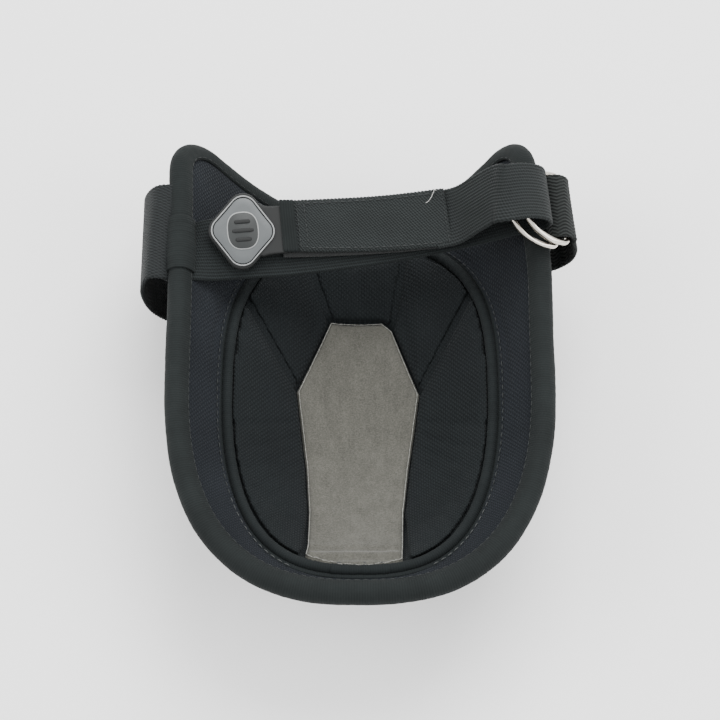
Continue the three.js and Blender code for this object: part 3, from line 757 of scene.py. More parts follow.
def collar():
    """The padded mesh between the piping and the binding."""
    count = 480
    angle = np.linspace(0, 2 * math.pi, count, endpoint=False)
    ix, iy = oval(angle, 1.6)
    ex, ey = edge_loop(400, 200)
    ring = even(np.stack([ex, ey], -1), 2400, True)
    inner_dir = np.arctan2(iy, ix)
    polar = np.arctan2(ring[:, 1], ring[:, 0])
    order = np.argsort(polar)
    radius = np.hypot(ring[:, 0], ring[:, 1])
    far = np.interp(inner_dir, polar[order], radius[order], period=2 * math.pi) - 1.4
    near = np.hypot(ix, iy)
    steps = 34
    s = np.linspace(0, 1, steps)
    r = near[:, None] + (far - near)[:, None] * s[None, :]
    x, y = np.cos(inner_dir)[:, None] * r, np.sin(inner_dir)[:, None] * r
    width = (far - near)[:, None]
    d_in, d_out = s[None, :] * width, (1 - s[None, :]) * width
    crown = 1.5 * (1 - np.exp(-d_in / 3.0)) * (1 - np.exp(-d_out / 4.0)) * np.clip(width / 14, 0.2, 1)
    pucker = 0.10 * np.exp(-d_in / 4.5) * np.sin(angle * 150)[:, None]
    fold = -0.7 * np.exp(-(((d_in - 6.5) / 1.1) ** 2)) * smooth(y, -25, 25) * smooth(width, 9, 16)
    soft = 0.22 * wobble(x * 0.11, y * 0.08)
    height = 2.45 + crown + pucker + fold + soft * crown
    foam = extra_foam(x, y)
    top = on_wall(x, y, height + foam)
    bottom = on_wall(x, y, CLOTH_UNDER + foam)[:, ::-1]
    rows = np.concatenate([top, bottom], 1)
    return set_cloth(sweep("lining_collar", rows, True))


def set_cloth(obj):
    """Gives a piece that lies on the wall the cloth's own coordinates."""
    mesh = obj.data
    uv = fabric_uv(coordinates(obj)) * MM
    layer = mesh.uv_layers.get("cloth") or mesh.uv_layers.new(name="cloth")
    layer.data.foreach_set("uv", uv[corner_points(mesh)].ravel())
    return obj


dress(collar(), MESH_COLLAR, "shell", "mesh_fabric", "lining")


LEFT_SIDE = np.array([(-80, -23.4), (-75, -20.8), (-68, -19.8), (-50, -19.6), (-28, -21), (5.5, -25), (39, -12)], float)
RIGHT_SIDE = np.array(
    [(-80, 17.2), (-75, 15.9), (-68, 16.2), (-50, 16.7), (-28, 19), (4.5, 23.5), (35, 13), (39, 9)], float
)


def beside_patch(x, y):
    """How far a plan point lies outside the centre patch."""
    outline = np.vstack([LEFT_SIDE[:, ::-1], RIGHT_SIDE[::-1, ::-1]])
    best = np.full(x.shape, 1e9)
    for a, b in zip(outline, np.roll(outline, -1, 0)):
        d = b - a
        t = np.clip(((x - a[0]) * d[0] + (y - a[1]) * d[1]) / (d @ d), 0, 1)
        best = np.minimum(best, np.hypot(x - a[0] - t * d[0], y - a[1] - t * d[1]))
    left = np.interp(y, LEFT_SIDE[:, 0], LEFT_SIDE[:, 1])
    right = np.interp(y, RIGHT_SIDE[:, 0], RIGHT_SIDE[:, 1])
    return np.where((x > left) & (x < right) & (y < PATCH_TOP), 0, best)


def dish():
    count = 240
    angle = np.linspace(0, 2 * math.pi, count, endpoint=False)
    r = np.linspace(0.02, 1, 48)
    ox, oy = oval(angle, 1.6)
    x = ox[None, :] * r[:, None]
    y = OVAL_Y + (oy - OVAL_Y)[None, :] * r[:, None]
    foam = extra_foam(x, y)
    world = on_wall(x, y, PAD_FACE + foam)
    edge = (r[:, None] - 1) * np.hypot(ox, oy - OVAL_Y)[None, :]
    off_patch = smooth(beside_patch(world[..., 0], world[..., 1]), 0.3, 3.0)
    valley = 2.9 + 3.0 * off_patch * (1 - 0.45 * smooth(edge, -3.5, 0))
    top = on_wall(x, y, valley + foam + 0.08 * wobble(x * 0.3, y * 0.3))
    bottom = on_wall(x, y, CLOTH_UNDER + foam)
    n, m = x.shape
    verts = np.concatenate([top.reshape(-1, 3), bottom.reshape(-1, 3)])
    grid = np.arange(n * m).reshape(n, m)
    faces = []
    for g in (grid, grid + n * m):
        q = np.stack([g[:-1], np.roll(g[:-1], -1, 1), np.roll(g[1:], -1, 1), g[1:]], -1)
        faces += q.reshape(-1, 4).tolist()
        faces.append(g[0].tolist())
    for j in range(m):
        k = (j + 1) % m
        faces.append([grid[-1, j], grid[-1, k], grid[-1, k] + n * m, grid[-1, j] + n * m])
    return fix_normals(make("dish_cloth", verts, faces, fabric_uv(verts)))


dress(dish(), MESH_PAD, "shell", "mesh_fabric", "dish_base")

PAD_NAMES = ["pad_top", "pad_upper_left", "pad_upper_right", "pad_lower_left", "pad_lower_right"]


def wall_height(p):
    """How far points lie off the wall's middle surface, and their plan position there."""
    x, y = p[:, 0].copy(), p[:, 1].copy()
    for _ in range(4):
        h = (p[:, 2] - middle(x, y)) * wall_normal(x, y)[:, 2]
        n = wall_normal(x, y)
        x, y = p[:, 0] - n[:, 0] * h, p[:, 1] - n[:, 1] * h
    return x, y, (p[:, 2] - middle(x, y)) / wall_normal(x, y)[:, 2]


def place_vertices(obj, p):
    obj.data.vertices.foreach_set("co", (p * MM).ravel())
    obj.data.update()


def puffed_pad(node):
    """A pad from its CAD solid: remeshed, inflated as cloth, then quilted down at its edge."""
    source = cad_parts[node]
    obj = bpy.data.objects.new(node + "_cloth", source.data.copy())
    bpy.context.scene.collection.objects.link(obj)
    remesh = obj.modifiers.new("even", "REMESH")
    remesh.mode, remesh.voxel_size = "VOXEL", 0.0011
    relax = obj.modifiers.new("relax", "SMOOTH")
    relax.iterations, relax.factor = 6, 0.6
    applied(obj)
    before = coordinates(obj)
    x, y, h = wall_height(before)
    base = extra_foam(x, y)
    held = np.clip(1 - (h - base - 3.6) / 1.2, 0, 1)
    group = obj.vertex_groups.new(name="held")
    for k in np.nonzero(held > 0.02)[0]:
        group.add([int(k)], float(held[k]), "REPLACE")
    cloth = obj.modifiers.new("puff", "CLOTH")
    s = cloth.settings
    s.quality, s.mass = 6, 0.05
    s.use_pressure, s.uniform_pressure_force = True, 4
    s.tension_stiffness = s.compression_stiffness = 12
    s.bending_stiffness = 0.2
    s.vertex_group_mass = "held"
    s.effector_weights.gravity = 0
    cloth.point_cache.frame_start, cloth.point_cache.frame_end = 1, 20
    for f in range(1, 21):
        bpy.context.scene.frame_set(f)
    applied(obj)
    bpy.context.scene.frame_set(1)
    after = coordinates(obj)
    move = after - before
    size = np.linalg.norm(move, axis=1, keepdims=True)
    after = before + move * np.minimum(1, 1.1 / np.maximum(size, 1e-9))
    place_vertices(obj, after)
    fine = obj.modifiers.new("fine", "SUBSURF")
    fine.levels = 1
    applied(obj)
    p = coordinates(obj)
    x, y, h = wall_height(p)
    n = wall_normal(x, y)
    dent = 0.16 * wobble(x * 0.22, y * 0.17)
    place_vertices(obj, p + n * (dent * np.clip(h - extra_foam(x, y) - 3.8, 0, 1))[:, None])
    set_cloth(obj)
    obj.data.polygons.foreach_set("use_smooth", [True] * len(obj.data.polygons))
    dress(obj, MESH_PAD, "shell", "mesh_fabric", node)


for pad_name in PAD_NAMES:
    puffed_pad(pad_name)


def patch_grid(rows, columns, inset=0.0):
    v, u = np.linspace(0, 1, rows), np.linspace(0, 1, columns)
    x = np.zeros((rows, columns))
    y = np.zeros((rows, columns))
    for i, share in enumerate(v):
        row = np.full(columns, -76 + 115 * share)
        for _ in range(6):
            left = np.interp(row, LEFT_SIDE[:, 0], LEFT_SIDE[:, 1]) + inset
            right = np.interp(row, RIGHT_SIDE[:, 0], RIGHT_SIDE[:, 1]) - inset
            across = left + (right - left) * u
            bottom = -77.6 + 0.011 * across**2
            bottom = bottom + inset + 0.2 * np.sin(across * 1.1) + 0.15 * np.sin(across * 3.3)
            row = bottom + (PATCH_TOP - inset - bottom) * share
        x[i], y[i] = across, row
    return beneath(x, y, PAD_FACE + extra_foam(x, y))


def centre_patch():
    rows, columns = 230, 96
    x, y = patch_grid(rows, columns)
    left = x - x[:, :1]
    right = x[:, -1:] - x
    low = y - y[:1]
    high = y[-1:] - y
    near = np.minimum(np.minimum(left, right), np.minimum(low, high))
    edge = 1 - np.exp(-near / 0.55)
    folds = 0.7 * np.sin(y * 1.15 + 0.25 * np.sin(x * 0.35)) + 0.3 * wobble(x * 0.5, y * 0.9)
    wrinkle = np.exp(-((y + 76) / 4.0) ** 2) * folds
    lift = -0.9 * np.exp(-low / 4.0)
    height = 3.6 + 1.35 * edge + 0.18 * wobble(x * 0.16, y * 0.12) + wrinkle * edge + lift
    height = height + 0.05 * np.sin(x * 9.1 + 3 * np.sin(y * 2.3)) * np.sin(y * 7.7)
    foam = extra_foam(x, y)
    top = on_wall(x, y, height + foam)
    bottom = on_wall(x, y, 3.15 + foam)[:, ::-1]
    return set_cloth(sweep("patch_felt", np.concatenate([top, bottom], 1), False))


dress(centre_patch(), SUEDE, "shell", "suede", "centre_patch")


def patch_edge():
    """The patch's pale cut edge: a thin frayed cord of fibres round its outline."""
    x, y = patch_grid(140, 60, 0.15)
    grid = np.stack([x, y], -1)
    loop = np.concatenate([grid[:, 0], grid[-1, 1:], grid[::-1, -1][1:], grid[0, ::-1][1:-1]])
    loop = even(loop, 900, True)
    s = np.arange(len(loop)) * 0.35
    height = 4.75 + extra_foam(*loop.T) + 0.12 * wobble(s * 0.6) - 0.9 * np.exp(-np.maximum(0, loop[:, 1] + 80) / 4)
    p = on_wall(*loop.T, height)
    t = tangents(p, True)
    up = wall_normal(*loop.T)
    side = unit(np.cross(t, up))
    radius = 0.15 + 0.06 * wobble(s * 2.1) + 0.03 * np.sin(s * 9)
    return sweep("patch_cut", round_rows(p, side, up, 8, radius[:, None]), True)


dress(patch_edge(), SUEDE_EDGE, "shell", "suede")


# --- piping and its stitches ---


def piping_path(start, end, count, height):
    angle = np.linspace(start, end, 4 * count)
    x, y = oval(angle)
    flat = even(np.stack([x, y], -1), count)
    return flat, on_wall(*flat.T, height + extra_foam(*flat.T))


def tube(name, flat, p, radius, sides=16, squash=1.0):
    t = tangents(p, False)
    up = wall_normal(*flat.T)
    up = unit(up - t * np.sum(up * t, 1)[:, None])
    return sweep(name, round_rows(p, np.cross(t, up), up, sides, radius, squash), False)


JOIN = math.radians(7)
TOE_ANGLE = -math.pi / 2
flat, path = piping_path(TOE_ANGLE + JOIN * 0.4, TOE_ANGLE + 2 * math.pi - JOIN * 0.4, 720, PIPING_SEAT + PIPING)
s = np.arange(len(path)) * 0.6
ripple = 1 + 0.022 * np.sin(s * 1.9)[:, None] + 0.02 * wobble(s * 0.35)[:, None]
dress(tube("piping_roll", flat, path, PIPING * ripple), PIPING_TAPE, "shell", "tape", "piping_ring")


def flange():
    """The piping's sewn edge, a low second ridge outside it."""
    angle = np.linspace(0, 2 * math.pi, 2400, endpoint=False)
    x, y = oval(angle, -1.5)
    loop = even(np.stack([x, y], -1), 700, True)
    p = on_wall(*loop.T, 2.75 + extra_foam(*loop.T))
    t = tangents(p, True)
    up = wall_normal(*loop.T)
    swell = 1.0 + 0.05 * np.sin(np.arange(len(loop)) * 0.65 * 2.2)
    side = unit(np.cross(t, up)) * swell[:, None]
    return sweep("piping_flange", round_rows(p, side, up, 12, 1.7, 0.5), True), loop


flange_piece, flange_loop = flange()
dress(flange_piece, PIPING_TAPE, "shell", "tape")


def flange_stitches(name, start, end, material, spread):
    """Stitches along the flange's outer edge, between two shares of the loop."""
    count = len(flange_loop)
    pick = flange_loop[[int(k) % count for k in np.arange(start * count, end * count)]]
    centre = np.array([0, OVAL_Y])
    away = unit(pick - centre)
    pick = pick + away * spread
    p = on_wall(*pick.T, 3.75 + extra_foam(*pick.T))
    obj = stitches(name, p, wall_normal(*pick.T), 2.3, 1.1, 0.2)
    dress(obj, material, "shell", "tape")


flange_stitches("stitches_left", 0.60, 0.69, LIGHT_THREAD, 1.6)
flange_stitches("stitches_right", 0.81, 0.90, LIGHT_THREAD, 1.6)
flange_stitches("stitches_top", -0.10, 0.60, THREAD, 1.6)

flat, path = piping_path(TOE_ANGLE - JOIN, TOE_ANGLE + JOIN, 60, PIPING_SEAT + PIPING + 0.05)
a = np.linspace(0, 1, 60)
cuff = PIPING + 0.3 + 0.16 * wobble(a * 40)[:, None] - 0.25 * np.exp(-((a - 0.5) / 0.05) ** 2)[:, None]
dress(tube("piping_cuff", flat, path, cuff, 18, 0.86), PIPING_TAPE, "shell", "tape", "piping_sleeve")
for i, (share, turn) in enumerate(((-0.62, 25), (0.1, -60), (0.72, 40))):
    k = math.radians(turn)
    x0, y0 = oval(np.array([TOE_ANGLE + JOIN * share]))
    x = x0 + np.linspace(-1.6, 1.6, 8) * math.cos(k)
    y = y0 + 1.0 + np.linspace(-1.6, 1.6, 8) * math.sin(k) * 0.5
    p = on_wall(x, y, PIPING_SEAT + 2 * PIPING + 0.25 + extra_foam(x, y))
    dress(stitches(f"sleeve_stitch_{i}", p, wall_normal(x, y), 2.0, 1.0, 0.22), LIGHT_THREAD, "shell", "tape")


# --- binding ---


def edge_frames(loop, closed=True):
    p = on_wall(*loop.T, np.zeros(len(loop)))
    t = tangents(p, closed)
    up = wall_normal(*loop.T)
    up = unit(up - t * np.sum(up * t, 1)[:, None])
    return p, unit(np.cross(t, up)), up


def binding_rows(p, side, up, radius, leg, inner, s):
    """A folded tape: a roll over the edge, two legs, and the same path back inside it."""
    p = p + side * 0.9 - up * 0.5
    outline = [(-leg, radius - 0.95, 0), (-leg + 0.25, radius - 0.25, 0), (-leg + 1.0, radius - 0.02, 0.4)]
    for d in np.linspace(-leg + 2.0, -0.6, 4):
        outline.append((d, radius + 0.12, 1))
    for a in np.linspace(90, -90, 17):
        c = math.radians(a)
        outline.append((radius * 1.02 * math.cos(c), (radius + 0.1) * math.sin(c), 1))
    for d in np.linspace(-0.6, -leg + 2.0, 4):
        outline.append((d, -radius - 0.12, 1))
    outline += [(-leg + 1.0, -radius + 0.02, 0.4), (-leg + 0.25, -radius + 0.25, 0), (-leg, -radius + 0.95, 0)]
    outline = np.array(outline)
    back = [(-leg + 0.4, -inner)] + [(d, -inner) for d in np.linspace(-leg + 1.5, -0.6, 4)]
    for a in np.linspace(-90, 90, 17):
        c = math.radians(a)
        back.append((0.35 + (inner - 0.3) * 0.3 * math.cos(c), inner * math.sin(c)))
    back += [(d, inner) for d in np.linspace(-0.6, -leg + 1.5, 4)] + [(-leg + 0.4, inner)]
    back = np.array(back)[::-1]
    back = back[np.linspace(0, len(back) - 1, len(outline)).round().astype(int)][::-1]
    pull = 0.02 * np.sin(2 * math.pi * s / 3.3) + 0.14 * wobble(s * 0.11) + 0.04 * wobble(s * 0.7)
    swell = 1 + pull[:, None] * outline[None, :, 2] * 0.2
    lateral = outline[None, :, 0] * np.where(outline[None, :, 0] > 0, swell, 1)
    height = outline[None, :, 1] * swell
    lateral = np.concatenate([lateral, np.broadcast_to(back[None, :, 0], lateral.shape)], 1)
    height = np.concatenate([height, np.broadcast_to(back[None, :, 1], height.shape)], 1)
    return p[:, None] + side[:, None] * lateral[..., None] + up[:, None] * height[..., None]


ex, ey = edge_loop(600, 260)
edge = even(np.stack([ex, ey], -1), 900, True)
p, side, up = edge_frames(edge)
s = arc_length(p)
binding = sweep("binding_tape_roll", binding_rows(p, side, up, 4.3, 3.4, 3.35, s), True)
dress(binding, TAPE, "shell", "tape", "rim_binding")
for name, level, sign in (("binding_stitch_in", 3.85, 1), ("binding_stitch_out", -4.85, -1)):
    line = p - side * 1.6 + up * level
    closed_line = np.vstack([line, line[:1]])
    normal = np.vstack([up, up[:1]]) * sign
    dress(stitches(name, closed_line, normal, 2.3, 1.0, 0.17, 0.05), THREAD, "shell", "tape")

runs = np.linspace(-0.886, -0.768, 60)
ox, oy = plan(np.ones_like(runs), runs)
wrap = np.stack([ox, oy], -1)
p, side, up = edge_frames(wrap, False)
s = np.linspace(0, 17, 60)
taper = 4.9 + 0.45 * np.sin(np.linspace(0, math.pi, 60)) ** 0.6 + 0.1 * wobble(s * 1.7)
rows = []
for k in range(60):
    one = slice(k, k + 1)
    rows.append(binding_rows(p[one], side[one], up[one], taper[k], 4.1, 4.45, s[one])[0])
dress(sweep("binding_wrap", np.array(rows), False), TAPE, "shell", "tape", "binding_overlap")


# --- straps ---

INNER = [
    (-60, 52.2, 56.2), (-46, 53.2, 54.2), (-29.5, 55, 52.6), (-7, 58, 52.3),
    (16, 61, 53.6), (32, 62.9, 56.5), (47, 64.3, 60.8),
]
FOLD = [
    (-31, -1.7), (-24.5, 1), (-17, 3.6), (-10, 5), (-6.2, 7.2),
    (-4.8, 10.2), (-5.6, 13.6), (-9, 16.9), (-14.5, 18.9), (-20, 18.7),
]
FOLD_SHIFT = 1.8
TAIL_FROM, TAIL_TO, TAIL_SHIFT = 0.27, 0.895, (7.3, 1.0)
HOOK_SHIFT = (1.7, -3.9)
TAIL_LOW = ELASTIC / 2 + 0.9 + 1.6
turn = Matrix.Rotation(math.radians(RING_TURN), 3, "Z") @ Matrix.Rotation(math.radians(RING_TILT), 3, "X")
TURN = np.array(turn)


def from_ring(points):
    return np.asarray(points, float) @ TURN.T + HINGE


def inner_and_fold():
    """The inner pass and the strap's turn up through the rings, as one band."""
    fold = from_ring([(x, FOLD_SHIFT, z) for x, z in FOLD])
    start = [(-68.0, 50.9, 55.4), (-64.8, 51.2, 55.0), (-58, 51.9, 54.9)] + INNER[1:-1]
    points = np.vstack([start, fold[1:6]])
    line = catmull(points, 230)
    tilt = STRAP_TILT * smooth(line[:, 0], -67, -56) + (RING_TILT - STRAP_TILT) * smooth(line[:, 0], 34, 66)
    turn = RING_TURN * smooth(line[:, 0], 30, 66)
    width = np.interp(line[:, 0], [-67, -30, 30, 60], [25.4, 24.6, 23.8, 23.2])
    return strap("strap_inner", strap_frames(line, tilt, turn), width, edge=lambda s: 0.12 * np.sin(s * 4.8))


inner = inner_and_fold()
# The inner pass wears the darker copy of the front pass's elastic: painted shade on the same band.
dress(inner, RIB_PAINTED_SHADE, None, "webbing", "main_strap", "strap_fold")
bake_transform(inner)

line = catmull(INNER, 120, TAIL_FROM, TAIL_TO)
hook_frames = strap_frames(line, STRAP_TILT, 0, HOOK_SHIFT)
loop_tape = strap("loop_band", hook_frames, 13, 0.8, ELASTIC / 2 + 0.3 + 0.4, rib_height=0)
dress(loop_tape, HOOKS, "shell", "fastener", "loop_tape")
hook_tape = strap("hook_band", hook_frames, 13.4, 1.0, TAIL_LOW - 0.3 - 0.45, rib_height=0)
dress(hook_tape, HOOKS, "tail", "fastener", "hook_tape")

fine = catmull(INNER, 260, TAIL_FROM, TAIL_TO)
fine_frames = strap_frames(fine, STRAP_TILT, 0, TAIL_SHIFT)
origin, side, up = fine_frames
wave = 0.35 * np.sin(np.linspace(0, 9, 260))[:, None]
fine_frames = (origin + up * wave, side, up)
TAIL_WIDTHS = np.interp(np.linspace(0, 1, 260), [0, 0.5, 1], [20.6, 22.2, 23.6])
picot = lambda s: 0.32 * np.abs(np.sin(s * math.pi / 1.5)) - 0.1
tail = strap("tail_band", fine_frames, TAIL_WIDTHS, 1.5, TAIL_LOW + 0.7, rib_height=0, edge=picot)
dress(tail, WEAVE, "tail", "webbing", "tail_webbing")
top = origin + up * (TAIL_LOW + 1.45 + wave)


hem = (origin[:24] + up[:24] * wave[:24], side[:24], up[:24])
dress(strap("tail_hem", hem, 20.9, 0.9, TAIL_LOW + 1.7, rib_height=0, edge=picot), TAPE, "tail", "webbing")


def on_tail(share, lateral):
    """A point on the tail's face: share along it, lateral from -1 to 1 across it."""
    i = np.clip(np.asarray(share) * 259, 0, 259)
    k = i.astype(int)
    f = (i - k)[..., None]
    k2 = np.minimum(k + 1, 259)
    base = top[k] * (1 - f) + top[k2] * f
    return base + side[k] * (np.asarray(lateral) * TAIL_WIDTHS[k] / 2)[..., None], up[k]


def tail_stitch(name, shares, laterals, material=THREAD, **more):
    path, normal = on_tail(np.array(shares), np.array(laterals))
    dress(stitches(name, path, normal, **more), material, "tail", "webbing")


def sampled(a, b):
    t = np.linspace(0, 1, 40)
    return [a[0] + (b[0] - a[0]) * t, a[1] + (b[1] - a[1]) * t]


corners = [(0.105, -0.82), (0.105, 0.82), (0.15, 0.82), (0.15, -0.82)]
for i in range(4):
    tail_stitch(f"box_stitch_{i}", *sampled(corners[i], corners[(i + 1) % 4]), length=1.5, gap=0.5, radius=0.22)
for i, lateral in enumerate((-0.86, 0.86)):
    tail_stitch(f"tail_edge_stitch_{i}", *sampled((0.16, lateral), (0.97, lateral)), length=2.0, gap=0.8)
tail_stitch("seam_stitch_1", *sampled((0.985, -0.9), (0.985, 0.9)), length=1.4, gap=0.5, radius=0.2)


def loose_thread():
    t = np.linspace(0, 1, 30)
    path, normal = on_tail(0.955 + 0.02 * t - 0.10 * t**2, 0.93 - 0.25 * t + 0.12 * np.sin(t * 5))
    path = path + normal * (0.5 + 0.9 * np.sin(t * 4))[:, None]
    t3 = tangents(path, False)
    side3 = unit(np.cross(t3, normal))
    return sweep("loose_thread", round_rows(path, side3, np.cross(t3, side3), 6, 0.09), False)


dress(loose_thread(), WHITE_THREAD, "tail", "webbing")


def front_pass():
    """From under the fold, over the bows and down to the seam."""
    seam_origin, seam_side, seam_up = (f[-1] for f in strap_frames(line, STRAP_TILT, 0, TAIL_SHIFT))
    start = seam_origin + seam_up * (TAIL_LOW + ELASTIC / 2 - 0.35)
    along = np.cross(seam_side, seam_up)
    end = from_ring([(FOLD[-1][0], FOLD_SHIFT, FOLD[-1][1])])[0]
    rise = end - start
    fold = from_ring([(x, FOLD_SHIFT, z) for x, z in FOLD])
    points = [start - along * 6, start + along * 3]
    points += [start + rise * 0.42 + [0, 1.3, -1.3], start + rise * 0.74 + [0, 1.6, 0.9]]
    points = np.vstack([points, end + [-3.6, -0.3, -0.6], fold[-2:4:-1]])
    path = catmull(points, 200)
    for _ in range(60):
        path[1:-1] = (path[:-2] + 2 * path[1:-1] + path[2:]) / 4
    x = path[:, 0]
    tilt = 12 + (RING_TILT - 12) * smooth(x, 34, 74)
    turn = RING_TURN * smooth(x, 36, 76)
    width = np.interp(np.linspace(0, 1, 200), [0, 0.5, 1], [23.6, 23.4, 23.2])
    return strap("strap_front", strap_frames(path, tilt, turn), width, edge=picot)


front = front_pass()
dress(front, RIB, None, "webbing", "tail_elastic")
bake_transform(front)


def left_loop():
    sewn = -3.1 - 0.3 - ELASTIC / 2 - 0.25
    y = 58.0
    w = lambda x, h: on_wall(np.array([x]), np.array([y]), np.array([h]))[0]
    points = [
        (-72.3, y, 55.4), (-76.6, y, 59.4), (-82.2, y, 58.8), (-86.6, y, 49), (-86.2, y, 38),
        (-82.6, y, 27.5), (-75, y, 19), (-63, y, 13.6), (-50, y, 11.4),
    ]
    points += [w(-36, sewn - 2.6), w(-30, sewn - 0.3), w(-24, sewn), w(-18, sewn)]
    path = catmull(points, 300)
    frames = strap_frames(path, 0)
    s = np.linspace(0, 1, 300)
    origin, side, up = frames
    origin = origin + up * (0.5 * np.sin(s * 11) * np.sin(s * math.pi))[:, None]
    follow = np.sign(side[:, 1]) * 0.1 * (1 - smooth(s, 0.02, 0.2))
    side = unit(side + follow[:, None] * [1, 0, 0])
    hem = lambda s: 0.2 * np.sin(s * 4.2)
    return strap("side_loop", (origin, side, up), 42, 1.5, rib=1.6, rib_height=0.06, edge=hem)


dress(left_loop(), SIDE_RIB, "shell", "webbing", "left_elastic")


def ring_loop():
    shares = [0.6, 0.72, 0.84, 0.94, 1.01]
    width = half_width(np.array([HINGE[1]]))[0]
    leg = lambda h: [on_wall(np.array([q * width]), np.array([HINGE[1]]), np.array([h]))[0] for q in shares]
    eye = []
    for a in range(195, -31, -30):
        c = math.radians(a)
        eye.append(HINGE + [5.1 * math.cos(c), 0, 5.1 * math.sin(c)])
    inner = -3.4 - ELASTIC / 2 - 2.2
    y = HINGE[1]
    slack = [(84.4, y, 54), (83.2, y, 46.5), (78.6, y, 40), (71.5, y, 35.6)]
    points = leg(inner) + eye + slack + leg(inner - ELASTIC - 0.3)[:3][::-1][1:]
    path = catmull(points, 320)
    hem = lambda s: 0.12 * np.sin(s * 4.2)
    frames = strap_frames(path, RING_TILT, RING_TURN)
    return strap("bar_loop", frames, 26.8, 1.3, rib=1.5, rib_height=0.18, edge=hem)


dress(ring_loop(), LOOP_RIB, "shell", "webbing", "ring_loop")


def anchor(name, x0, y0, length, height, node):
    """A sewn patch over a strap's end, with rounded edges and a stitched border."""
    u = np.linspace(-1, 1, 40)
    rows_y = np.linspace(-1, 1, 90)
    x = x0 + 7.5 * u[None, :] * np.ones((90, 1))
    y = y0 + length / 2 * rows_y[:, None] * np.ones((1, 40))
    edge = (1 - np.abs(u[None, :]) ** 14) * (1 - np.abs(rows_y[:, None]) ** 30)
    top = on_wall(x, y, height - 1.0 * (0.25 + 0.75 * np.sqrt(np.maximum(edge, 0))))
    bottom = on_wall(x, y, np.full_like(x, height))[:, ::-1]
    dress(sweep(name, np.concatenate([top, bottom], 1), False), TAPE, "shell", "tape", node)
    border = []
    for (ax, ay), (bx, by) in (((-1, -1), (1, -1)), ((1, -1), (1, 1)), ((1, 1), (-1, 1)), ((-1, 1), (-1, -1))):
        t = np.linspace(0, 1, 30)[:-1]
        border.append(np.stack([x0 + 5.9 * (ax + (bx - ax) * t), y0 + (length / 2 - 1.8) * (ay + (by - ay) * t)], -1))
    border = np.vstack(border + [border[0][:1]])
    p = on_wall(*border.T, np.full(len(border), height - 1.02))
    dress(stitches(name + "_stitch", p, -wall_normal(*border.T), 2.0, 0.8), LIGHT_THREAD, "shell", "tape")


anchor("left_sewn_patch", -23.5, 58, 45, -3.4 - ELASTIC - 0.8, "left_anchor")
anchor("right_sewn_patch", 47, HINGE[1] - 2, 34.8, -3.4 - 0.7 - 2.2 - 2.1 - 0.6 - 1.4, "right_anchor")


# --- rings ---


def ring(name, sign, rise, body, node):
    c = np.radians(np.linspace(0, 90, 10))
    corner = np.stack([RING_CORNER * (np.cos(c) - 1), RING_HALF - RING_CORNER * (1 - np.sin(c)), 0 * c], -1)
    c = np.radians(np.linspace(90, 270, 60))
    bow = np.stack([(RING_DEPTH - RING_SIDE) * np.cos(c) - RING_SIDE, RING_HALF * np.sin(c), 0 * c], -1)
    p = even(np.vstack([corner, bow, corner[::-1] * [1, -1, 1]]), 260, True)
    t = tangents(p, True)
    up = np.tile([0, 0, 1.0], (len(p), 1))
    rows = round_rows(p, np.cross(t, up), up, 20, RING_WIRE)
    k = math.radians(rise)
    tip = np.array([[math.cos(k), 0, math.sin(k)], [0, 1, 0], [-math.sin(k), 0, math.cos(k)]])
    rows = rows @ tip.T + BAR_OFFSET * sign
    dress(sweep(name, from_ring(rows), True), STEEL, body, "steel", node)


ring("ring_wire_lower", -1, 31, "lower_ring", "d_ring_lower")
ring("ring_wire_upper", 1, 35, "rings", "d_ring_upper")


# --- pull tab ---

tab_origin, tab_side, tab_up = (f[0] for f in strap_frames(line, STRAP_TILT, 0, TAIL_SHIFT))
TAB_FRAME = np.stack([np.cross(tab_side, tab_up) * -1, -tab_side, tab_up])
TAB_LOW = TAIL_LOW - 0.8


def from_tab(points):
    return np.asarray(points, float) @ TAB_FRAME + tab_origin


def lozenge(half_x, half_y, corner, lean=0.0):
    """The radius at each angle of a rhombus with rounded corners, turned by lean degrees."""
    tips = np.array([(half_x - corner, 0), (0, half_y - corner), (corner - half_x, 0), (0, corner - half_y)])
    a = np.radians(np.arange(720) / 2)
    away = np.stack([np.cos(a), np.sin(a)], -1)
    ring = tips[np.argmax(away @ tips.T, 1)] + corner * away
    ring = even(ring, 1440, True)
    polar = np.arctan2(ring[:, 1], ring[:, 0]) + math.radians(lean)
    return lambda angle: np.interp(angle, polar, np.hypot(ring[:, 0], ring[:, 1]), period=2 * math.pi)


MIDDLE = 999  # an inset that reaches the outline's middle


def polar_solid(name, radius, profile, centre, count=180):
    """Rings of a profile of (inset, height) pairs inside an outline given by polar radius."""
    angle = np.linspace(0, 2 * math.pi, count, endpoint=False)
    edge = radius(angle)
    rows = []
    for inset, z in profile:
        r = np.maximum(edge - inset, 0.02 * edge) if inset != MIDDLE else 0.02 * edge
        rows.append(np.stack([centre[0] + r * np.cos(angle), centre[1] + r * np.sin(angle), np.full(count, z)], -1))
    rows = np.array(rows)
    n, m = rows.shape[:2]
    verts = rows.reshape(-1, 3)
    faces = ring_faces(n, m)
    if profile[0][0] == MIDDLE:
        faces.append(list(range(m)))
        faces.append(list(range((n - 1) * m, n * m))[::-1])
    else:
        for j in range(m):
            faces.append([(n - 1) * m + j, (n - 1) * m + (j + 1) % m, (j + 1) % m, j])
    return fix_normals(make(name, from_tab(verts), faces))


EMBLEM = np.array([15.4, 0.9])
TAB_LEAN = -6
NECK_TOP, NECK_TOE, NECK_END = -8.2, 11.0, -1.8


